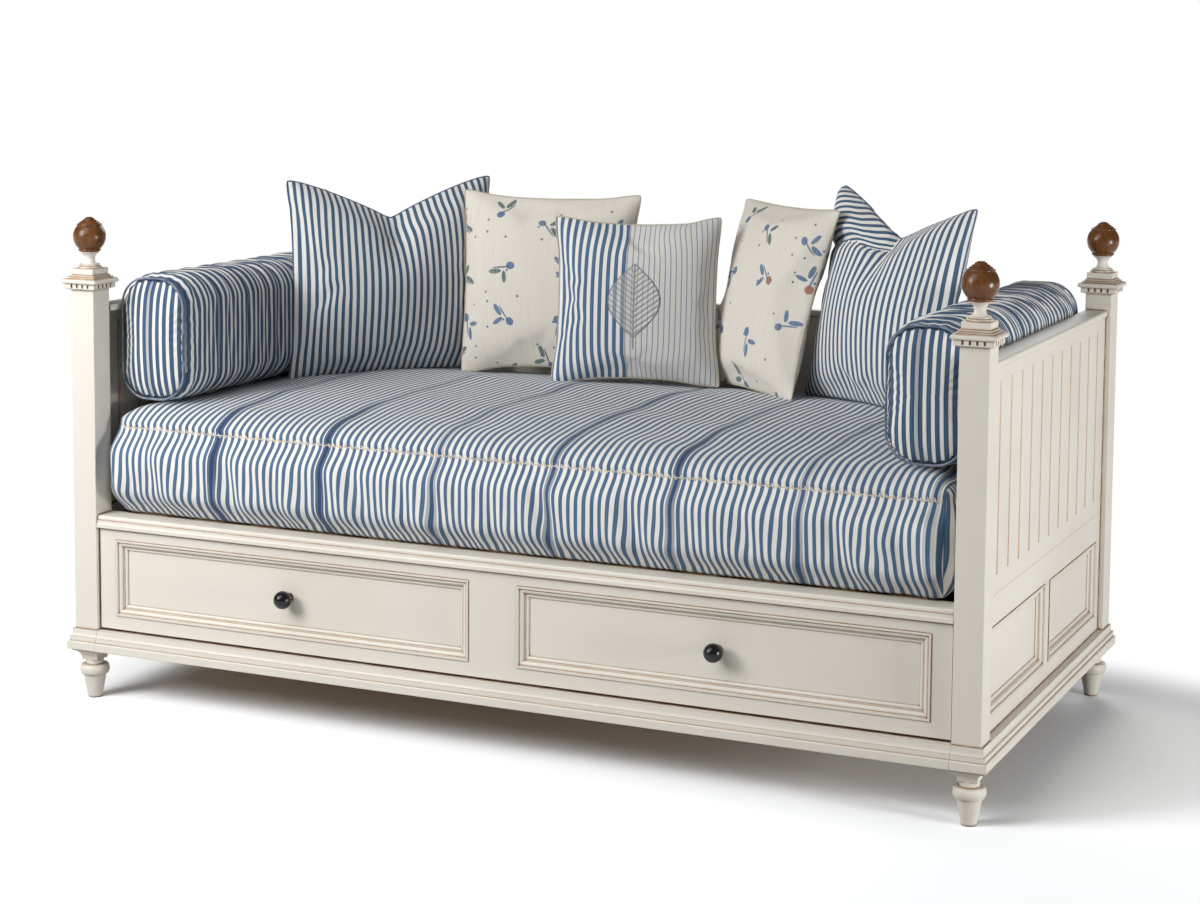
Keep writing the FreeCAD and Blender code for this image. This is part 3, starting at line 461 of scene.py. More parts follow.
@dataclass(frozen=True)
class PatchCloth(Woven):
    """Two cloths joined by an upright seam: bold stripes on one side, fine pin stripes on the other."""

    name: str = "patch_cloth"
    join: float = -0.018
    leaf_long: float = 0.162
    leaf_half: float = 0.056
    vein: float = 0.0125
    thread: Colour = (0.26, 0.285, 0.33)
    leaf: Colour = (0.60, 0.60, 0.585)
    bold: Ticking = Ticking(name="bold_ticking", pitch=0.0165, stripe=0.50, wide_every=0)
    fine: Ticking = Ticking(name="fine_ticking", pitch=0.0118, stripe=0.17, wide_every=0,
                            cream=(0.72, 0.70, 0.66), blue=(0.20, 0.25, 0.33), pale_blue=(0.36, 0.40, 0.46))

    def lay(self, s: Shader, where: Socket) -> None:
        """Lay the finish on."""
        height, streak = self.threads(s, where)
        u, _, _ = s.axes(where)
        side = s.above(u, self.join)
        tone = s.blend(side, self.bold.stripes(s, where, streak), self.fine.stripes(s, where, streak))
        lines, inside, puff = self.stitched_leaf(s, where)
        tone = s.blend(s.times(inside, 0.45), tone, self.leaf)
        tone = s.blend(s.times(lines, 0.8), tone, self.thread)
        quilted = s.bump(puff, 0.8, 0.004)
        self.cover(s, tone, s.bump(height, 0.28, 0.0004, quilted))

    def stitched_leaf(self, s: Shader, where: Socket) -> tuple[Socket, Socket, Socket]:
        """A quilted leaf at the middle of the cloth and the seam that joins the two cloths.

        Args:
            s: the material.
            where: the cloth's own coordinates in metres.

        Returns:
            The stitched lines, the leaf's inside, and its height.
        """
        u, v, _ = s.axes(where)
        reach = s.size(u)
        share = s.plus(s.over(v, self.leaf_long), 0.5)
        half = s.times(s.math("SINE", s.times(share, math.pi)), self.leaf_half)
        within = s.times(s.ramp(share, -0.01, 0.01), s.ramp(share, 1.01, 0.99))
        inside = s.times(s.ramp(s.minus(half, reach), -0.0006, 0.0006), within)
        edge = s.size(s.minus(half, reach))
        rim = s.times(s.ramp(edge, 0.0020, 0.0010), within)
        run = s.over(s.minus(v, s.times(reach, 0.75)), self.vein)
        lobe = s.size(s.minus(s.math("FRACT", run), 0.5))
        veins = s.times(s.ramp(lobe, 0.40, 0.46), inside)
        stalk = s.times(s.ramp(reach, 0.0022, 0.0012), s.ramp(share, -0.16, -0.14))
        stalk = s.times(stalk, s.ramp(share, 1.0, 0.98))
        off = s.size(s.minus(u, self.join))
        seam = s.times(s.ramp(off, 0.0016, 0.0006), 0.7)
        lines = s.most(s.most(rim, veins), s.most(stalk, seam))
        puff = s.minus(s.times(inside, s.minus(1.2, lobe)), lines)
        return lines, inside, puff


@dataclass(frozen=True)
class PlainCloth(Finish):
    """A plain cloth or thread on Object coordinates, for cords and stitches."""

    name: str
    tone: Colour
    dark: Colour
    grain: float = 900.0

    def lay(self, s: Shader, where: Socket) -> None:
        """Lay the finish on."""
        fibre = s.noise(where, self.grain, 3.0, 0.6)
        cloud = s.noise(where, 35.0, 3.0)
        mixed = s.times(s.plus(fibre, cloud), 0.5)
        s.set(Base_Color=s.blend(s.ramp(mixed, 0.35, 0.65), self.tone, self.dark), Roughness=0.88)
        s.set(Normal=s.bump(fibre, 0.3, 0.0004), Sheen_Weight=0.1)


class Bench:
    """The hand tools: what selects, measures and finishes a mesh."""

    @staticmethod
    def take(*objects: Piece) -> None:
        """Select these objects alone; the last one is active."""
        bpy.ops.object.select_all(action="DESELECT")
        for obj in objects:
            obj.select_set(True)
            bpy.context.view_layer.objects.active = obj

    @staticmethod
    def start(name: str, add: Callable, **settings: object) -> Piece:
        """Start a piece from one of Blender's plain shapes, selected alone."""
        Bench.take()
        add(**settings)
        bpy.context.object.name = name
        return bpy.context.object

    @staticmethod
    def points(obj: Piece) -> Rows:
        """The mesh's points as rows of x, y, z."""
        flat = np.empty(len(obj.data.vertices) * 3)
        obj.data.vertices.foreach_get("co", flat)
        return flat.reshape(-1, 3)

    @staticmethod
    def move(obj: Piece, points: Rows) -> None:
        """Put the mesh's points at these rows."""
        obj.data.vertices.foreach_set("co", np.ascontiguousarray(points, dtype=np.float64).ravel())
        obj.data.update()

    @staticmethod
    def corners(obj: Piece) -> Rows:
        """The point number of each face corner."""
        index = np.empty(len(obj.data.loops), dtype=np.int64)
        obj.data.loops.foreach_get("vertex_index", index)
        return index

    @staticmethod
    def corner_normals(obj: Piece) -> Rows:
        """The face normal of each face corner."""
        count = len(obj.data.polygons)
        normals = np.empty(count * 3)
        totals = np.empty(count, dtype=np.int64)
        obj.data.polygons.foreach_get("normal", normals)
        obj.data.polygons.foreach_get("loop_total", totals)
        return np.repeat(normals.reshape(-1, 3), totals, axis=0)

    @staticmethod
    def lay_cloth(obj: Piece, uv: Rows) -> None:
        """Write the cloth's own coordinates, one row per face corner, as the UV map."""
        layer = obj.data.uv_layers.active or obj.data.uv_layers.new(name="cloth")
        layer.data.foreach_set("uv", np.ascontiguousarray(uv, dtype=np.float32).ravel())

    @staticmethod
    def apply(obj: Piece) -> None:
        """Apply every modifier of the object in order."""
        Bench.take(obj)
        for modifier in list(obj.modifiers):
            bpy.ops.object.modifier_apply(modifier=modifier.name)

    @staticmethod
    def smooth(obj: Piece, levels: int) -> None:
        """Apply a subdivision of that many levels and shade it smooth."""
        if levels:
            made = obj.modifiers.new("rounding", "SUBSURF")
            made.levels = levels
            made.render_levels = levels
            Bench.apply(obj)
        Bench.take(obj)
        bpy.ops.object.shade_smooth()

    @staticmethod
    def dress(obj: Piece, material: Material, slot: Slot, body: str = "frame") -> None:
        """Give the piece its finish and the body it rides on."""
        obj.data.materials.clear()
        obj.data.materials.append(material)
        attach(obj, body)
        LOG.info("%s: %d faces", obj.name, len(obj.data.polygons))

    @staticmethod
    def cord(name: str, path: Rows, radius: float, closed: bool = True) -> Piece:
        """A round cord along a path, with its cloth laid along it.

        Args:
            name: name of the new piece.
            path: rows of points, in order.
            radius: radius of the cord.
            closed: whether the cord's end joins its start.

        Returns:
            The cord as a mesh object at the origin.
        """
        curve = bpy.data.curves.new(name, "CURVE")
        curve.dimensions = "3D"
        curve.bevel_depth = radius
        curve.bevel_resolution = 2
        spline = curve.splines.new("POLY")
        spline.points.add(len(path) - 1)
        spline.points.foreach_set("co", np.column_stack([path, np.ones(len(path))]).ravel())
        spline.use_cyclic_u = closed
        curve.use_fill_caps = not closed
        obj = bpy.data.objects.new(name, curve)
        bpy.context.collection.objects.link(obj)
        Bench.take(obj)
        bpy.ops.object.convert(target="MESH")
        made = bpy.context.view_layer.objects.active
        bpy.ops.object.shade_smooth()
        steps = np.linalg.norm(np.diff(path, axis=0), axis=1)
        along = np.concatenate([[0.0], np.cumsum(steps)])
        ring = max(1, len(made.data.vertices) // len(path))
        number = np.minimum(Bench.corners(made) // ring, len(path) - 1)
        Bench.lay_cloth(made, np.column_stack([along[number], np.zeros(len(number))]))
        return made


@dataclass
class Stuffing:
    """How a sewn cover is blown up by the cloth simulation."""

    pressure: float
    frames: int
    cap: float
    stiffness: float = 15.0
    bending: float = 0.5
    mass: float = 0.3
    quality: int = 6

    def fill(self, obj: Piece) -> None:
        """Blow the closed cover up and keep the result in its mesh.

        Args:
            obj: a closed mesh object.
        """
        start = Bench.points(obj)
        cloth = obj.modifiers.new("stuffing", "CLOTH")
        settings = cloth.settings
        settings.quality = self.quality
        settings.mass = self.mass
        settings.tension_stiffness = self.stiffness
        settings.compression_stiffness = self.stiffness
        settings.shear_stiffness = self.stiffness / 3.0
        settings.bending_stiffness = self.bending
        settings.use_pressure = True
        settings.uniform_pressure_force = self.pressure
        settings.effector_weights.gravity = 0.0
        cloth.collision_settings.use_collision = False
        cloth.point_cache.frame_start = 1
        cloth.point_cache.frame_end = self.frames
        scene = bpy.context.scene
        for number in range(1, self.frames + 1):
            scene.frame_set(number)
        Bench.apply(obj)
        scene.frame_set(1)
        shift = Bench.points(obj) - start
        length = np.linalg.norm(shift, axis=1, keepdims=True)
        Bench.move(obj, start + shift * np.minimum(1.0, self.cap / np.maximum(length, 1e-9)))


@dataclass(frozen=True)
class Ripple:
    """Uneven ripples of a cloth: waves of several lengths, added up, with their own seed."""

    high: float
    lengths: tuple[float, ...]
    seed: int
    slant: float = 0.0

    def along(self, at: Rows, up: Rows | float = 0.0) -> Rows:
        """The height of the ripples.

        Args:
            at: places along the cloth in metres.
            up: places up the cloth in metres, by which the ripples slant.

        Returns:
            The height at each place, from -high to high.
        """
        picks = np.random.default_rng(self.seed)
        place = at + self.slant * up
        total = np.zeros_like(place)
        for length in self.lengths:
            total += np.sin(2.0 * math.pi * place / length + picks.uniform(0.0, 2.0 * math.pi))
        return total / len(self.lengths) * self.high


def ease(value: Rows, low: float, high: float) -> Rows:
    """A smooth step from 0 at low to 1 at high."""
    t = np.clip((value - low) / (high - low), 0.0, 1.0)
    return t * t * (3.0 - 2.0 * t)


@dataclass
class Mattress:
    """Striped mattress with a hand-whipped seam along its front."""

    node: str = "mattress"
    voxel: float = 0.015
    start_in: float = 0.006
    roll: float = 0.030
    skin: Span = (-0.030, -0.004)
    seam_up: float = 0.192
    seam_deep: float = 0.007
    seam_wide: float = 0.010
    pucker: Ripple = Ripple(0.0030, (0.031, 0.043, 0.058), SEED)
    pucker_reach: float = 0.035
    fold: Ripple = Ripple(0.0130, (0.062, 0.105, 0.19, 0.33), SEED + 1, 0.25)
    pinch: Ripple = Ripple(0.0100, (0.047, 0.083, 0.13), SEED + 4, -0.15)
    pinch_reach: float = 0.045
    sway: Ripple = Ripple(0.0085, (0.085, 0.14, 0.26), SEED + 5, 0.5)
    sway_from: float = 0.03
    top_sway: Ripple = Ripple(0.00425, (0.17, 0.31, 0.52), SEED + 6, 0.4)
    roll_drop: float = 0.040
    roll_run: float = 0.105
    end_run: float = 0.060
    crown: float = 0.014
    crown_run: Span = (0.05, 0.32)
    dip: Ripple = Ripple(0.004, (0.21, 0.37, 0.6), SEED + 2, 0.3)
    cross_dip: Ripple = Ripple(1.0, (0.27, 0.5), SEED + 3, -0.2)
    top_sink: float = 0.003
    belly_run: Span = (0.05, 0.06)
    bulge: float = 0.040
    bulge_skin: Span = (-0.060, -0.004)
    tuck: float = 0.014
    tuck_up: float = 0.05
    end_bulge: float = 0.014
    end_face: float = 0.75
    seam_cord: float = 0.0012
    seam_steps: int = 300
    stitch: Spot = (0.0020, 0.0020, 0.0072)
    stitch_slant: float = 32.0
    stitch_pitch: float = 0.0135
    stitch_set: float = 0.0006
    stitch_stray: float = 0.0008
    stuffing: Stuffing = field(default_factory=lambda: Stuffing(pressure=3.0, frames=14, cap=0.008))

    def cover(self) -> Piece:
        """The sewn cover as a closed rounded box, a little smaller than the stuffed mattress."""
        low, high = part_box(self.node)
        obj = Bench.start("mattress_cover", bpy.ops.mesh.primitive_cube_add, size=1.0)
        size = high - low - Vector((1.0, 1.0, 0.5)) * 2.0 * self.start_in
        obj.scale = size
        obj.location = (low + high) / 2.0 - Vector((0.0, 0.0, self.start_in / 2.0))
        bpy.ops.object.transform_apply(location=True, rotation=True, scale=True)
        bpy.ops.object.mode_set(mode="EDIT")
        bpy.ops.mesh.select_all(action="SELECT")
        bpy.ops.mesh.bevel(offset=self.roll, segments=6, profile=0.5, affect="EDGES")
        bpy.ops.object.mode_set(mode="OBJECT")
        remesh = obj.modifiers.new("cells", "REMESH")
        remesh.mode = "VOXEL"
        remesh.voxel_size = self.voxel
        Bench.apply(obj)
        return obj

    def stripe_cloth(self, obj: Piece) -> None:
        """Lay the stripes over the top and down the front and back, and across the ends."""
        at = Bench.points(obj)[Bench.corners(obj)]
        normal = Bench.corner_normals(obj)
        end = np.abs(normal[:, 0]) > self.end_face
        u = np.where(end, at[:, 1], at[:, 0])
        low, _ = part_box(self.node)
        drawn = self.sway.along(u, at[:, 2])
        u = u + drawn * (1.0 - ease(at[:, 2] - low.z, self.sway_from, self.seam_up))
        u = u + self.top_sway.along(at[:, 1], u)
        v = np.where(end, at[:, 2], at[:, 2] + at[:, 1] - low.y)
        Bench.lay_cloth(obj, np.column_stack([u, v]))

    def wrinkle(self, obj: Piece) -> None:
        """Draw in the whipped seam, pucker the cloth along it and fold the front below it."""
        low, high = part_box(self.node)
        p = Bench.points(obj)
        seam = low.z + self.seam_up
        off = p[:, 2] - seam
        side = ease(low.y - p[:, 1], *self.skin)
        back = ease(p[:, 1] - high.y, *self.skin)
        ends = ease(np.abs(p[:, 0]) - high.x, *self.skin)
        groove = np.exp(-(off / self.seam_wide) ** 2) * self.seam_deep
        along = np.where(ends > 0.5, p[:, 1], p[:, 0])
        near = np.exp(-np.abs(off) / self.pucker_reach)
        ripple = self.pucker.along(along) * near
        upper_belly, lower_belly = self.belly_run
        belly = ease(-off, 0.0, upper_belly) * ease(p[:, 2] - low.z, 0.0, lower_belly)
        folds = self.fold.along(along, off) * belly
        foot = np.exp(-np.maximum(p[:, 2] - low.z, 0.0) / self.pinch_reach)
        pinches = np.abs(self.pinch.along(along, off)) * foot
        sunk = groove - ripple - folds + pinches
        p[:, 1] += (side - back) * sunk
        p[:, 2] += side * pinches
        p[:, 0] -= np.sign(p[:, 0]) * ends * sunk
        deep = np.minimum(p[:, 1] - low.y, high.y - p[:, 1])
        long = high.x - np.abs(p[:, 0])
        inside = np.minimum(deep, long)
        upper = ease(p[:, 2], seam, high.z)
        short = 1.0 - np.clip(np.minimum(deep / self.roll_run, long / self.end_run), 0.0, 1.0)
        p[:, 2] -= upper * self.roll_drop * (1.0 - np.sqrt(1.0 - short ** 2))
        p[:, 1] -= ease(low.y - p[:, 1], *self.bulge_skin) * belly * self.bulge
        p[:, 0] += np.sign(p[:, 0]) * ends * belly * self.end_bulge
        p[:, 1] += side * (1.0 - ease(p[:, 2] - low.z, 0.0, self.tuck_up)) * self.tuck
        top = ease(p[:, 2] - high.z, *self.skin)
        dip = self.dip.along(p[:, 0], p[:, 1]) * self.cross_dip.along(p[:, 1], p[:, 0])
        p[:, 2] += top * (self.crown * ease(inside, *self.crown_run) - self.top_sink - dip)
        Bench.move(obj, p)

    def stitches(self, cover: Piece) -> Piece:
        """Slanted stitches over the front seam, each set on the cloth.

        Args:
            cover: the finished mattress cover.

        Returns:
            The stitches as one piece.
        """
        low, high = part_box(self.node)
        count = int((high.x - low.x - 2.0 * self.roll) / self.stitch_pitch)
        start = -(count - 1) / 2.0 * self.stitch_pitch
        obj = Bench.start("mattress_stitches", bpy.ops.mesh.primitive_uv_sphere_add,
                          segments=8, ring_count=6, radius=1.0)
        bpy.ops.object.mode_set(mode="EDIT")
        bpy.ops.mesh.select_all(action="SELECT")
        bpy.ops.transform.resize(value=self.stitch)
        bpy.ops.transform.rotate(value=math.radians(self.stitch_slant), orient_axis="Y",
                                 center_override=(0.0, 0.0, 0.0))
        bpy.ops.object.mode_set(mode="OBJECT")
        each = len(obj.data.vertices)
        row = obj.modifiers.new("row", "ARRAY")
        row.count = count
        row.use_relative_offset = False
        row.use_constant_offset = True
        row.constant_offset_displace = (self.stitch_pitch, 0.0, 0.0)
        Bench.apply(obj)
        p = Bench.points(obj).reshape(count, each, 3)
        picks = np.random.default_rng(SEED)
        path = self.seam_line(cover, start + np.arange(count) * self.stitch_pitch)
        for number in range(count):
            stray = picks.normal(0.0, self.stitch_stray)
            p[number] += (start, path[number, 1] - self.stitch_set, path[number, 2] + stray)
        Bench.move(obj, p.reshape(-1, 3))
        Bench.smooth(obj, 0)
        return obj

    def seam_line(self, cover: Piece, across: Rows) -> Rows:
        """Points of the front seam on the cloth at these places across the bed."""
        low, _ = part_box(self.node)
        seam = low.z + self.seam_up
        rows = []
        for x in across:
            hit, at, _, _ = cover.ray_cast(Vector((x, low.y - 0.2, seam)), Vector((0.0, 1.0, 0.0)))
            rows.append((x, at.y if hit else low.y, seam))
        return np.array(rows)

    def build(self, cloth: Material, thread: Material) -> None:
        """Make the mattress and its stitches.

        Args:
            cloth: the striped ticking.
            thread: the stitching thread.
        """
        obj = self.cover()
        self.stripe_cloth(obj)
        self.stuffing.fill(obj)
        self.wrinkle(obj)
        Bench.smooth(obj, 1)
        Bench.dress(obj, cloth, Slot.TICKING)
        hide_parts(self.node)
        Bench.dress(self.stitches(obj), thread, Slot.TICKING)
        low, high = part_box(self.node)
        path = self.seam_line(obj, np.linspace(low.x + self.roll, high.x - self.roll, self.seam_steps))
        Bench.dress(Bench.cord("mattress_seam", path, self.seam_cord, closed=False), thread, Slot.TICKING)


@dataclass
class Bolster:
    """Striped bolster: an oval roll with flat gathered ends and a corded seam round each."""

    node: str
    around: int = 112
    rows: int = 120
    cap_rows: int = 9
    corner: float = 0.066
    neck: float = 0.92
    swell: float = 0.075
    dome: float = 0.014
    cord: float = 0.0024
    cord_out: float = 0.012
    cord_past: float = 0.001
    gathers: int = 30
    gather: float = 0.0016
    gather_reach: float = 0.035
    ridge: float = 0.0034
    ridge_lengths: tuple[float, ...] = (0.026, 0.041, 0.067)
    ridge_from: float = 0.03
    sway: Span = (0.008, 0.004)
    cloth_per_turn: float = 0.11
    stuffing: Stuffing = field(default_factory=lambda: Stuffing(pressure=2.5, frames=12, cap=0.005))

    def middle(self) -> tuple[Vector, Vector]:
        """The middle of the bolster's box, and half its size."""
        low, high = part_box(self.node)
        return (low + high) / 2.0, (high - low) / 2.0

    def outline(self, half: Vector) -> Rows:
        """Points round the oval section, evenly spaced, as rows of x and z."""
        r = min(self.corner, half.x)
        x, z = half.x - r, half.z - r
        arc = math.pi * r / 2.0
        starts = np.concatenate([[0.0], np.cumsum([2.0 * z, arc, 2.0 * x, arc] * 2)])
        s = np.arange(self.around) / self.around * starts[-1]
        across = np.interp(s, starts, (x, x, x, -x, -x, -x, -x, x, x))
        up = np.interp(s, starts, (-z, z, z, z, z, -z, -z, -z, -z))
        turn = np.interp(s, starts, np.array((0, 0, 1, 1, 2, 2, 3, 3, 4)) * math.pi / 2.0)
        return np.column_stack([across + r * np.cos(turn), up + r * np.sin(turn)])

    def stations(self, half_length: float) -> tuple[Rows, Rows]:
        """The rows from one end's middle to the other's.

        Args:
            half_length: half the length of the bolster.

        Returns:
            The size of each row as a share of the section, and its place along the bolster.
        """
        cap = np.linspace(0.0, 1.0, self.cap_rows) * self.neck
        cap_at = half_length - self.dome * (cap / self.neck) ** 2
        edge = half_length - self.dome
        body_at = np.linspace(-edge, edge, self.rows)
        swell = np.clip((edge - np.abs(body_at)) / self.swell, 0.0, 1.0)
        body = self.neck + (1.0 - self.neck) * np.sin(swell * math.pi / 2.0)
        size = np.concatenate([cap[:-1], body, cap[:-1][::-1]])
        at = np.concatenate([-cap_at[:-1], body_at, cap_at[:-1][::-1]])
        return size, at

    def cover(self) -> Piece:
        """The sewn cover with its stripes: rings round the body, upright on the ends."""
        centre, half = self.middle()
        size, at = self.stations(half.y)
        section = self.outline(half)
        obj = Bench.start(self.node + "_cover", bpy.ops.mesh.primitive_grid_add,
                          x_subdivisions=self.around, y_subdivisions=len(at) - 1, size=2.0)
        p = Bench.points(obj)
        column = np.rint((p[:, 0] + 1.0) / 2.0 * self.around).astype(int)
        row = np.rint((p[:, 1] + 1.0) / 2.0 * (len(at) - 1)).astype(int)
        angle = column / self.around * 2.0 * math.pi
        inward = half.y - self.dome - np.abs(at[row])
        near = np.exp(-np.maximum(inward, 0.0) / self.gather_reach)
        gather = np.sin(self.gathers * angle) * self.gather * near * (size[row] > 0.5)
        slow, quick = self.sway
        sway = at[row] + slow * np.sin(2.0 * angle) + quick * np.sin(5.0 * angle + 8.0 * at[row])
        ridges = Ripple(self.ridge, self.ridge_lengths, SEED + len(self.node)).along(sway)
        gather = gather + ridges * ease(inward, 0.0, self.ridge_from) * (size[row] >= self.neck - 1e-6)
        share = size[row] + gather / half.x
        spot = section[column % self.around]
        placed = np.column_stack([spot[:, 0] * share, at[row], spot[:, 1] * share]) + np.array(centre)
        Bench.move(obj, placed)
        corner = Bench.corners(obj)
        face_row = row[corner].reshape(-1, 4).max(axis=1)
        body = (face_row >= self.cap_rows) & (face_row <= self.cap_rows + self.rows - 2)
        body = np.repeat(body, 4)
        loop_at = placed[corner]
        around = angle[corner] * self.cloth_per_turn
        uv = np.where(body[:, None], np.column_stack([loop_at[:, 1], around]), loop_at[:, [0, 2]])
        Bench.lay_cloth(obj, uv)
        bpy.ops.object.mode_set(mode="EDIT")
        bpy.ops.mesh.select_all(action="SELECT")
        bpy.ops.mesh.remove_doubles(threshold=1e-5)
        bpy.ops.mesh.normals_make_consistent(inside=False)
        bpy.ops.object.mode_set(mode="OBJECT")
        return obj

    def build(self, cloth: Material, seam_cloth: Material) -> None:
        """Make the bolster and its two corded seams.

        Args:
            cloth: the striped ticking.
            seam_cloth: the cloth of the cords.
        """
        obj = self.cover()
        self.stuffing.fill(obj)
        Bench.smooth(obj, 1)
        Bench.dress(obj, cloth, Slot.TICKING)
        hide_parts(self.node)
        centre, half = self.middle()
        section = self.outline(half) * (self.neck + self.cord_out)
        for name, sign in (("front", -1.0), ("rear", 1.0)):
            y = np.full(len(section), centre.y + sign * (half.y - self.dome + self.cord_past))
            path = np.column_stack([section[:, 0] + centre.x, y, section[:, 1] + centre.z])
            Bench.dress(Bench.cord(f"{self.node}_cord_{name}", path, self.cord), seam_cloth, Slot.TICKING)


@dataclass(frozen=True)
class Chop:
    """A V pressed into the middle of a cushion's upper edge, measured in half widths of the cushion."""

    sharp: float = 1.5
    rise: Span = (-0.15, 1.0)
    crease: float = 0.16
    crease_rise: Span = (0.0, 0.9)
    pinch: float = 0.42
    belly: float = 0.10
    belly_wide: float = 0.6
    belly_down: float = 0.1

    def press(self, p: Rows, across: Rows, up: Rows, deep: float) -> Rows:
        """Press the V in.

        Args:
            p: the cushion's points, standing up.
            across: place of each point across the cloth, -1 to 1.
            up: place of each point up the cloth, -1 to 1.
            deep: depth of the V in metres.

        Returns:
            The moved points.
        """
        p[:, 2] -= deep * np.clip(1.0 - np.abs(across), 0.0, 1.0) ** self.sharp * ease(up, *self.rise)
        crease = np.exp(-(across / self.crease) ** 2) * ease(up, *self.crease_rise)
        p[:, 1] *= 1.0 - self.pinch * crease
        low = 1.0 - ease(np.abs(up + self.belly_down), 0.0, self.belly_wide)
        p[:, 1] *= 1.0 + self.belly * np.exp(-(across / self.belly_wide) ** 2) * low
        return p


@dataclass(frozen=True)
class Ear:
    """The left ear of a cushion, laid over a slanting crease, measured in half widths of the cushion."""

    middle: float = -0.02
    low: float = 0.42
    slope: float = 0.35
    flap_run: float = 0.14
    rise_run: float = 0.6
    flap: float = 0.016
    crease: float = 0.010
    crease_wide: float = 0.05
    turn: float = 62.0
    stretch: float = 1.35

    def over(self, across: Rows, up: Rows) -> Rows:
        """How far points lie above the crease."""
        return np.where(across < self.middle, up - (self.low + self.slope * (across + 1.0)), -1.0)

    def slant(self, cloth: Rows, middle: Rows) -> Rows:
        """Turn the cloth's own coordinates on the faces of the ear, from the middle of each face."""
        turned = np.repeat(self.over(middle[:, 0], middle[:, 1]) > 0.0, 4)
        turn = math.radians(self.turn)
        spin = np.array([[math.cos(turn), -math.sin(turn)], [math.sin(turn), math.cos(turn)]])
        return np.where(turned[:, None], self.stretch * cloth @ spin.T, cloth)

    def fold(self, p: Rows, across: Rows, up: Rows, high: float) -> Rows:
        """Raise the ear and lay its front over the crease."""
        over = self.over(across, up)
        p[:, 2] += high * ease(over, 0.0, self.rise_run)
        p[:, 1] -= self.flap * ease(over, 0.0, self.flap_run) * (p[:, 1] <= 0.0)
        p[:, 1] += self.crease * np.exp(-(over / self.crease_wide) ** 2) * (p[:, 1] <= 0.0)
        return p


@dataclass
class Cushion:
    """A loose square cushion: two sheets sewn round the edge and stuffed, then set down on the mattress."""

    node: str
    width: float
    height: float
    thick: float
    x: float
    y: float
    turn: float
    lean: float
    slot: Slot
    notch: float = 0.0
    ear: float = 0.0
    cells: int = 46
    seam: float = 0.0018
    sink: float = 0.006
    start_share: float = 0.72
    loose: float = 0.58
    puff: float = 0.72
    corner: float = 0.022
    waist: float = 0.034
    lift: float = 0.0
    flat: float = 0.002
    stuffing: Stuffing = field(
        default_factory=lambda: Stuffing(pressure=6.0, frames=26, stiffness=20.0, cap=0.032))

    def sheets(self) -> Piece:
        """The two sewn sheets, standing up and slightly apart, with the cloth's coordinates laid flat."""
        obj = Bench.start(self.node + "_cover", bpy.ops.mesh.primitive_grid_add,
                          x_subdivisions=self.cells, y_subdivisions=self.cells, size=2.0)
        p = Bench.points(obj)
        crown = np.clip((1.0 - p[:, 0] ** 2) * (1.0 - p[:, 1] ** 2), 0.0, 1.0) ** self.puff
        trim = 1.0 - self.corner * (p[:, 0] * p[:, 1]) ** 8
        drawn = trim[:, None] * (1.0 - self.waist * (1.0 - p[:, 1::-1] ** 2))
        flat = p[:, :2] * drawn * np.array([self.width, self.height]) / 2.0
        corner = Bench.corners(obj)
        cloth = flat[corner]
        if self.ear:
            cloth = Ear().slant(cloth, p[corner].reshape(-1, 4, 3).mean(axis=1))
        Bench.lay_cloth(obj, cloth)
        share = self.start_share
        Bench.move(obj, np.column_stack([flat[:, 0], -crown * self.thick / 2.0 * share, flat[:, 1]]))
        mirror = obj.modifiers.new("rear", "MIRROR")
        mirror.use_axis = (False, True, False)
        mirror.use_mirror_merge = True
        mirror.merge_threshold = 1e-5
        Bench.apply(obj)
        return obj

    def fit(self, obj: Piece) -> None:
        """Bring the stuffed cover to the cushion's size."""
        p = Bench.points(obj)
        low, high = p.min(axis=0), p.max(axis=0)
        want = np.array([self.width, self.thick, self.height])
        Bench.move(obj, (p - (low + high) / 2.0) * want / (high - low))

    def stand(self, p: Rows, floor: float) -> Rows:
        """Lean, turn and set the cushion down, flat where it meets the mattress."""
        lean = Matrix.Rotation(-math.radians(self.lean), 3, "X")
        turn = Matrix.Rotation(math.radians(self.turn), 3, "Z")
        up = p + np.array([0.0, 0.0, self.height / 2.0])
        placed = up @ np.array(turn @ lean).T + np.array([self.x, self.y, floor + self.lift - self.sink])
        placed[:, 2] = np.maximum(placed[:, 2], floor + self.lift - self.flat)
        return placed

    def build(self, cloth: Material, seam_cloth: Material) -> None:
        """Make the cushion and the ridge of its seam.

        Args:
            cloth: the cover's cloth.
            seam_cloth: the cloth seen in the seam.
        """
        obj = self.sheets()
        start = Bench.points(obj)
        across = start[:, 0] / (self.width / 2.0)
        up = start[:, 2] / (self.height / 2.0)
        full = start / np.array([1.0, self.start_share, 1.0])
        self.stuffing.fill(obj)
        Bench.move(obj, full + self.loose * (Bench.points(obj) - full))
        self.fit(obj)
        p = Bench.points(obj)
        if self.notch:
            p = Chop().press(p, across, up, self.notch)
        if self.ear:
            p = Ear().fold(p, across, up, self.ear)
        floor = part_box("mattress")[1].z
        Bench.move(obj, self.stand(p, floor))
        number = np.nonzero(np.abs(start[:, 1]) < 1e-6)[0]
        order = np.argsort(np.arctan2(up[number], across[number]))
        Bench.smooth(obj, 1)
        path = Bench.points(obj)[number[order]]
        Bench.dress(obj, cloth, self.slot)
        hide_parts(self.node)
        Bench.dress(Bench.cord(self.node + "_seam", path, self.seam), seam_cloth, self.slot)


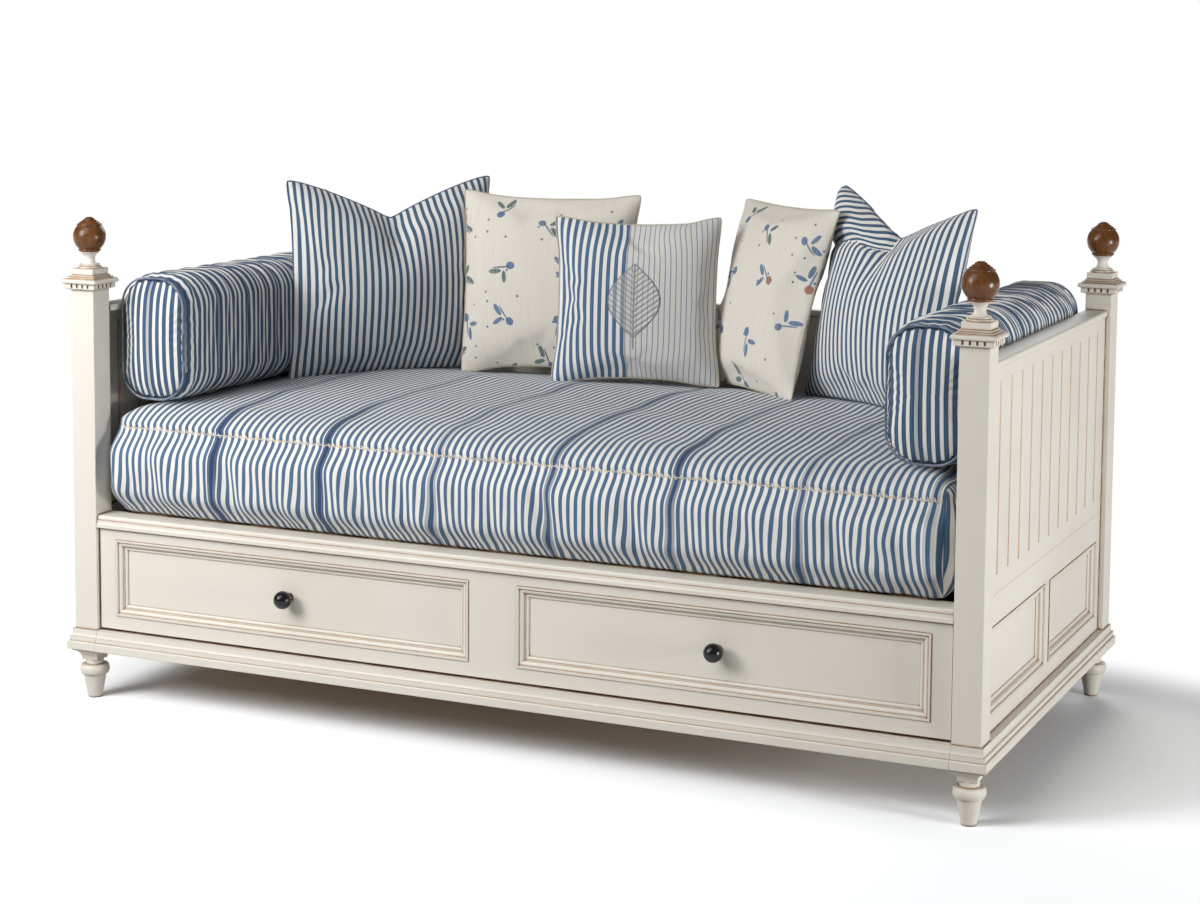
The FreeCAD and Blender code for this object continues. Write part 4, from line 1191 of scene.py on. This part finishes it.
@dataclass
class Joinery:
    """The wooden frame, the drawer, its slides and its knobs, on their CAD meshes."""

    record: dict
    grooved: str = "end_board"

    def dress(self, finishes: dict[Slot, Material], grooved: Material) -> None:
        """Give each CAD node the finish of its slot.

        Args:
            finishes: a finish for each slot.
            grooved: the paint of the grooved boards.
        """
        for entry in self.record["subparts"]:
            finish = finishes.get(Slot(entry["material_slot"]))
            if finish is None:
                continue
            if entry["node"].startswith(self.grooved):
                finish = grooved
            mesh = frame["nodes"][entry["node"]].data
            mesh.materials.clear()
            mesh.materials.append(finish)


@dataclass(frozen=True)
class Lamp:
    """A square lamp that faces the middle of the bed."""

    name: str
    at: Spot
    size: float
    power: float
    aim: Spot = (0.0, 0.0, 0.5)

    def hang(self) -> None:
        """Put the lamp up."""
        light = bpy.data.lights.new(self.name, "AREA")
        light.size = self.size
        light.energy = self.power
        obj = bpy.data.objects.new(self.name, light)
        bpy.context.collection.objects.link(obj)
        obj.location = self.at
        aim = Vector(self.aim) - Vector(self.at)
        obj.rotation_euler = aim.to_track_quat("-Z", "Y").to_euler()


LAMPS = (
    Lamp("key_left", (-2.0, -2.9, 2.1), 1.5, 91.0),
    Lamp("fill_right", (4.6, -0.9, 0.62), 1.0, 106.0),
    Lamp("front_soft", (-0.9, -2.8, 3.4), 2.4, 52.0),
    Lamp("back_soft", (-0.6, 4.2, 2.6), 2.0, 45.0),
)


@dataclass
class Studio:
    """Pale floor, soft lamps and the camera at the photograph's angle."""

    floor_size: float = 60.0
    floor_tone: Colour = (0.41, 0.41, 0.41)
    floor_seen: Colour = (1.36, 1.39, 1.42)
    fade: Span = (1.0, 1.55)
    fade_centre: Spot = (0.45, -0.28, 0.0)
    fade_reach: Spot = (1.28, 0.82, 1.0)
    ambient: float = 0.115
    place: Spot = (2.1987, -4.8097, 1.4966)
    yaw: float = 24.535
    pitch: float = 5.4987
    roll: float = 0.4136
    lens: float = 73.2126
    sensor: float = 36.0
    shift_y: float = -1.0 / 6.0

    def floor(self) -> None:
        """A wide floor that reads white to the camera and keeps the shadow."""
        obj = Bench.start("studio_floor", bpy.ops.mesh.primitive_plane_add, size=self.floor_size)
        s = Shader("studio_floor")
        middle = s.node("Mapping", {
            "Vector": s.place(uv=False),
            "Location": [-c / r for c, r in zip(self.fade_centre, self.fade_reach)],
            "Scale": [1.0 / r for r in self.fade_reach],
        })
        reach = s.node("VectorMath", {0: middle.outputs["Vector"]}, operation="LENGTH")
        away = s.ramp(reach.outputs["Value"], *self.fade)
        path = s.node("LightPath")
        seen = s.most(path.outputs["Is Camera Ray"], path.outputs["Is Glossy Ray"])
        seen = s.most(seen, path.outputs["Is Transmission Ray"])
        plain = s.times(seen, away)
        tone = s.blend(seen, self.floor_tone, self.floor_seen)
        s.set(Base_Color=s.blend(plain, tone, (0.0, 0.0, 0.0)), Roughness=1.0, Specular_IOR_Level=0.0)
        glow = s.ramp(away, 0.0, 1.0)
        s.set(Emission_Color=(1.0, 1.0, 1.0), Emission_Strength=s.times(seen, glow))
        obj.data.materials.append(s.material)

    def sky(self) -> None:
        """White to the camera, a softer ambient light on the object."""
        s = Shader("studio", "worlds", "Background")
        path = s.node("LightPath")
        seen = s.most(path.outputs["Is Camera Ray"], path.outputs["Is Transmission Ray"])
        s.set(Color=(1.0, 1.0, 1.0), Strength=s.ramp(seen, 0.0, 1.0, self.ambient, 1.0))
        bpy.context.scene.world = s.material

    def camera(self) -> None:
        """The camera, with a small shift of its lens."""
        yaw, pitch, roll = (math.radians(a) for a in (self.yaw, self.pitch, self.roll))
        ahead = Vector((-math.sin(yaw) * math.cos(pitch), math.cos(yaw) * math.cos(pitch), -math.sin(pitch)))
        right = Vector((math.cos(yaw), math.sin(yaw), 0.0))
        up = right.cross(ahead)
        right, up = (right * math.cos(roll) + up * math.sin(roll),
                     up * math.cos(roll) - right * math.sin(roll))
        data = bpy.data.cameras.new("photo_camera")
        data.sensor_width = self.sensor
        data.lens = self.lens
        data.shift_y = self.shift_y
        obj = bpy.data.objects.new("photo_camera", data)
        bpy.context.collection.objects.link(obj)
        turn = Matrix((right, up, -ahead)).transposed().to_4x4()
        obj.matrix_world = Matrix.Translation(self.place) @ turn
        bpy.context.scene.camera = obj

    def set_up(self) -> None:
        """Put up the floor, the sky, the lamps and the camera."""
        self.floor()
        self.sky()
        for lamp in LAMPS:
            lamp.hang()
        self.camera()
        bpy.context.scene.view_settings.view_transform = "Standard"


CUSHIONS = (
    Cushion("cushion_left_stripe", 0.525, 0.470, 0.150, -0.630, 0.203, 53.0, 1.0, Slot.TICKING,
            notch=0.088, lift=0.005),
    Cushion("cushion_left_print", 0.435, 0.438, 0.120, -0.276, 0.3145, 9.0, 5.0, Slot.PRINT, lift=0.008),
    Cushion("cushion_centre_patch", 0.392, 0.392, 0.110, -0.026, 0.2600, 16.0, 8.0, Slot.PATCH, lift=0.011),
    Cushion("cushion_right_print", 0.402, 0.440, 0.125, 0.224, 0.3080, -38.0, 16.0, Slot.PRINT, lift=0.011),
    Cushion("cushion_right_stripe", 0.480, 0.465, 0.155, 0.558, 0.1915, -35.0, 12.0, Slot.TICKING,
            notch=0.070, lift=0.006, ear=0.022),
)


def main() -> None:
    """Dress the joinery, make the soft goods and set up the studio."""
    logging.basicConfig(level=logging.INFO, format="%(name)s %(message)s")
    ticking = Ticking().make()
    cushion_ticking = Ticking(name="cushion_ticking", wide_every=0, stripe=0.46,
                              blue=(0.040, 0.092, 0.165), pale_blue=(0.095, 0.170, 0.270)).make()
    roll_ticking = Ticking(name="roll_ticking", wide_every=7, wide=0.9, stripe=0.56,
                           blue=(0.034, 0.078, 0.150), pale_blue=(0.090, 0.160, 0.255)).make()
    roll_seam = PlainCloth("roll_seam", (0.30, 0.34, 0.41), (0.06, 0.09, 0.15), 300.0).make()
    linen = SprigLinen().make()
    patch = PatchCloth().make()
    blue_seam = PlainCloth("blue_seam", (0.10, 0.15, 0.24), (0.05, 0.08, 0.14)).make()
    linen_seam = PlainCloth("linen_seam", (0.60, 0.54, 0.42), (0.40, 0.35, 0.25)).make()
    thread = PlainCloth("cream_thread", (0.78, 0.73, 0.64), (0.52, 0.44, 0.34)).make()
    Joinery(frame["record"]).dress({
        Slot.PAINT: AgedPaint().make(),
        Slot.TURNED: PolishedBrown().make(),
        Slot.PINE: BarePine().make(),
        Slot.ZINC: ZincPlate().make(),
        Slot.KNOB: BlackLacquer().make(),
    }, AgedPaint(name="grooved_paint", grooved=True).make())
    Mattress().build(ticking, thread)
    for side in ("left", "right"):
        Bolster("bolster_" + side).build(roll_ticking, roll_seam)
    cloths = {
        Slot.TICKING: (cushion_ticking, blue_seam),
        Slot.PRINT: (linen, linen_seam),
        Slot.PATCH: (patch, linen_seam),
    }
    for cushion in CUSHIONS:
        cushion.build(*cloths[cushion.slot])
    Studio().set_up()


if __name__ == "__main__":
    main()
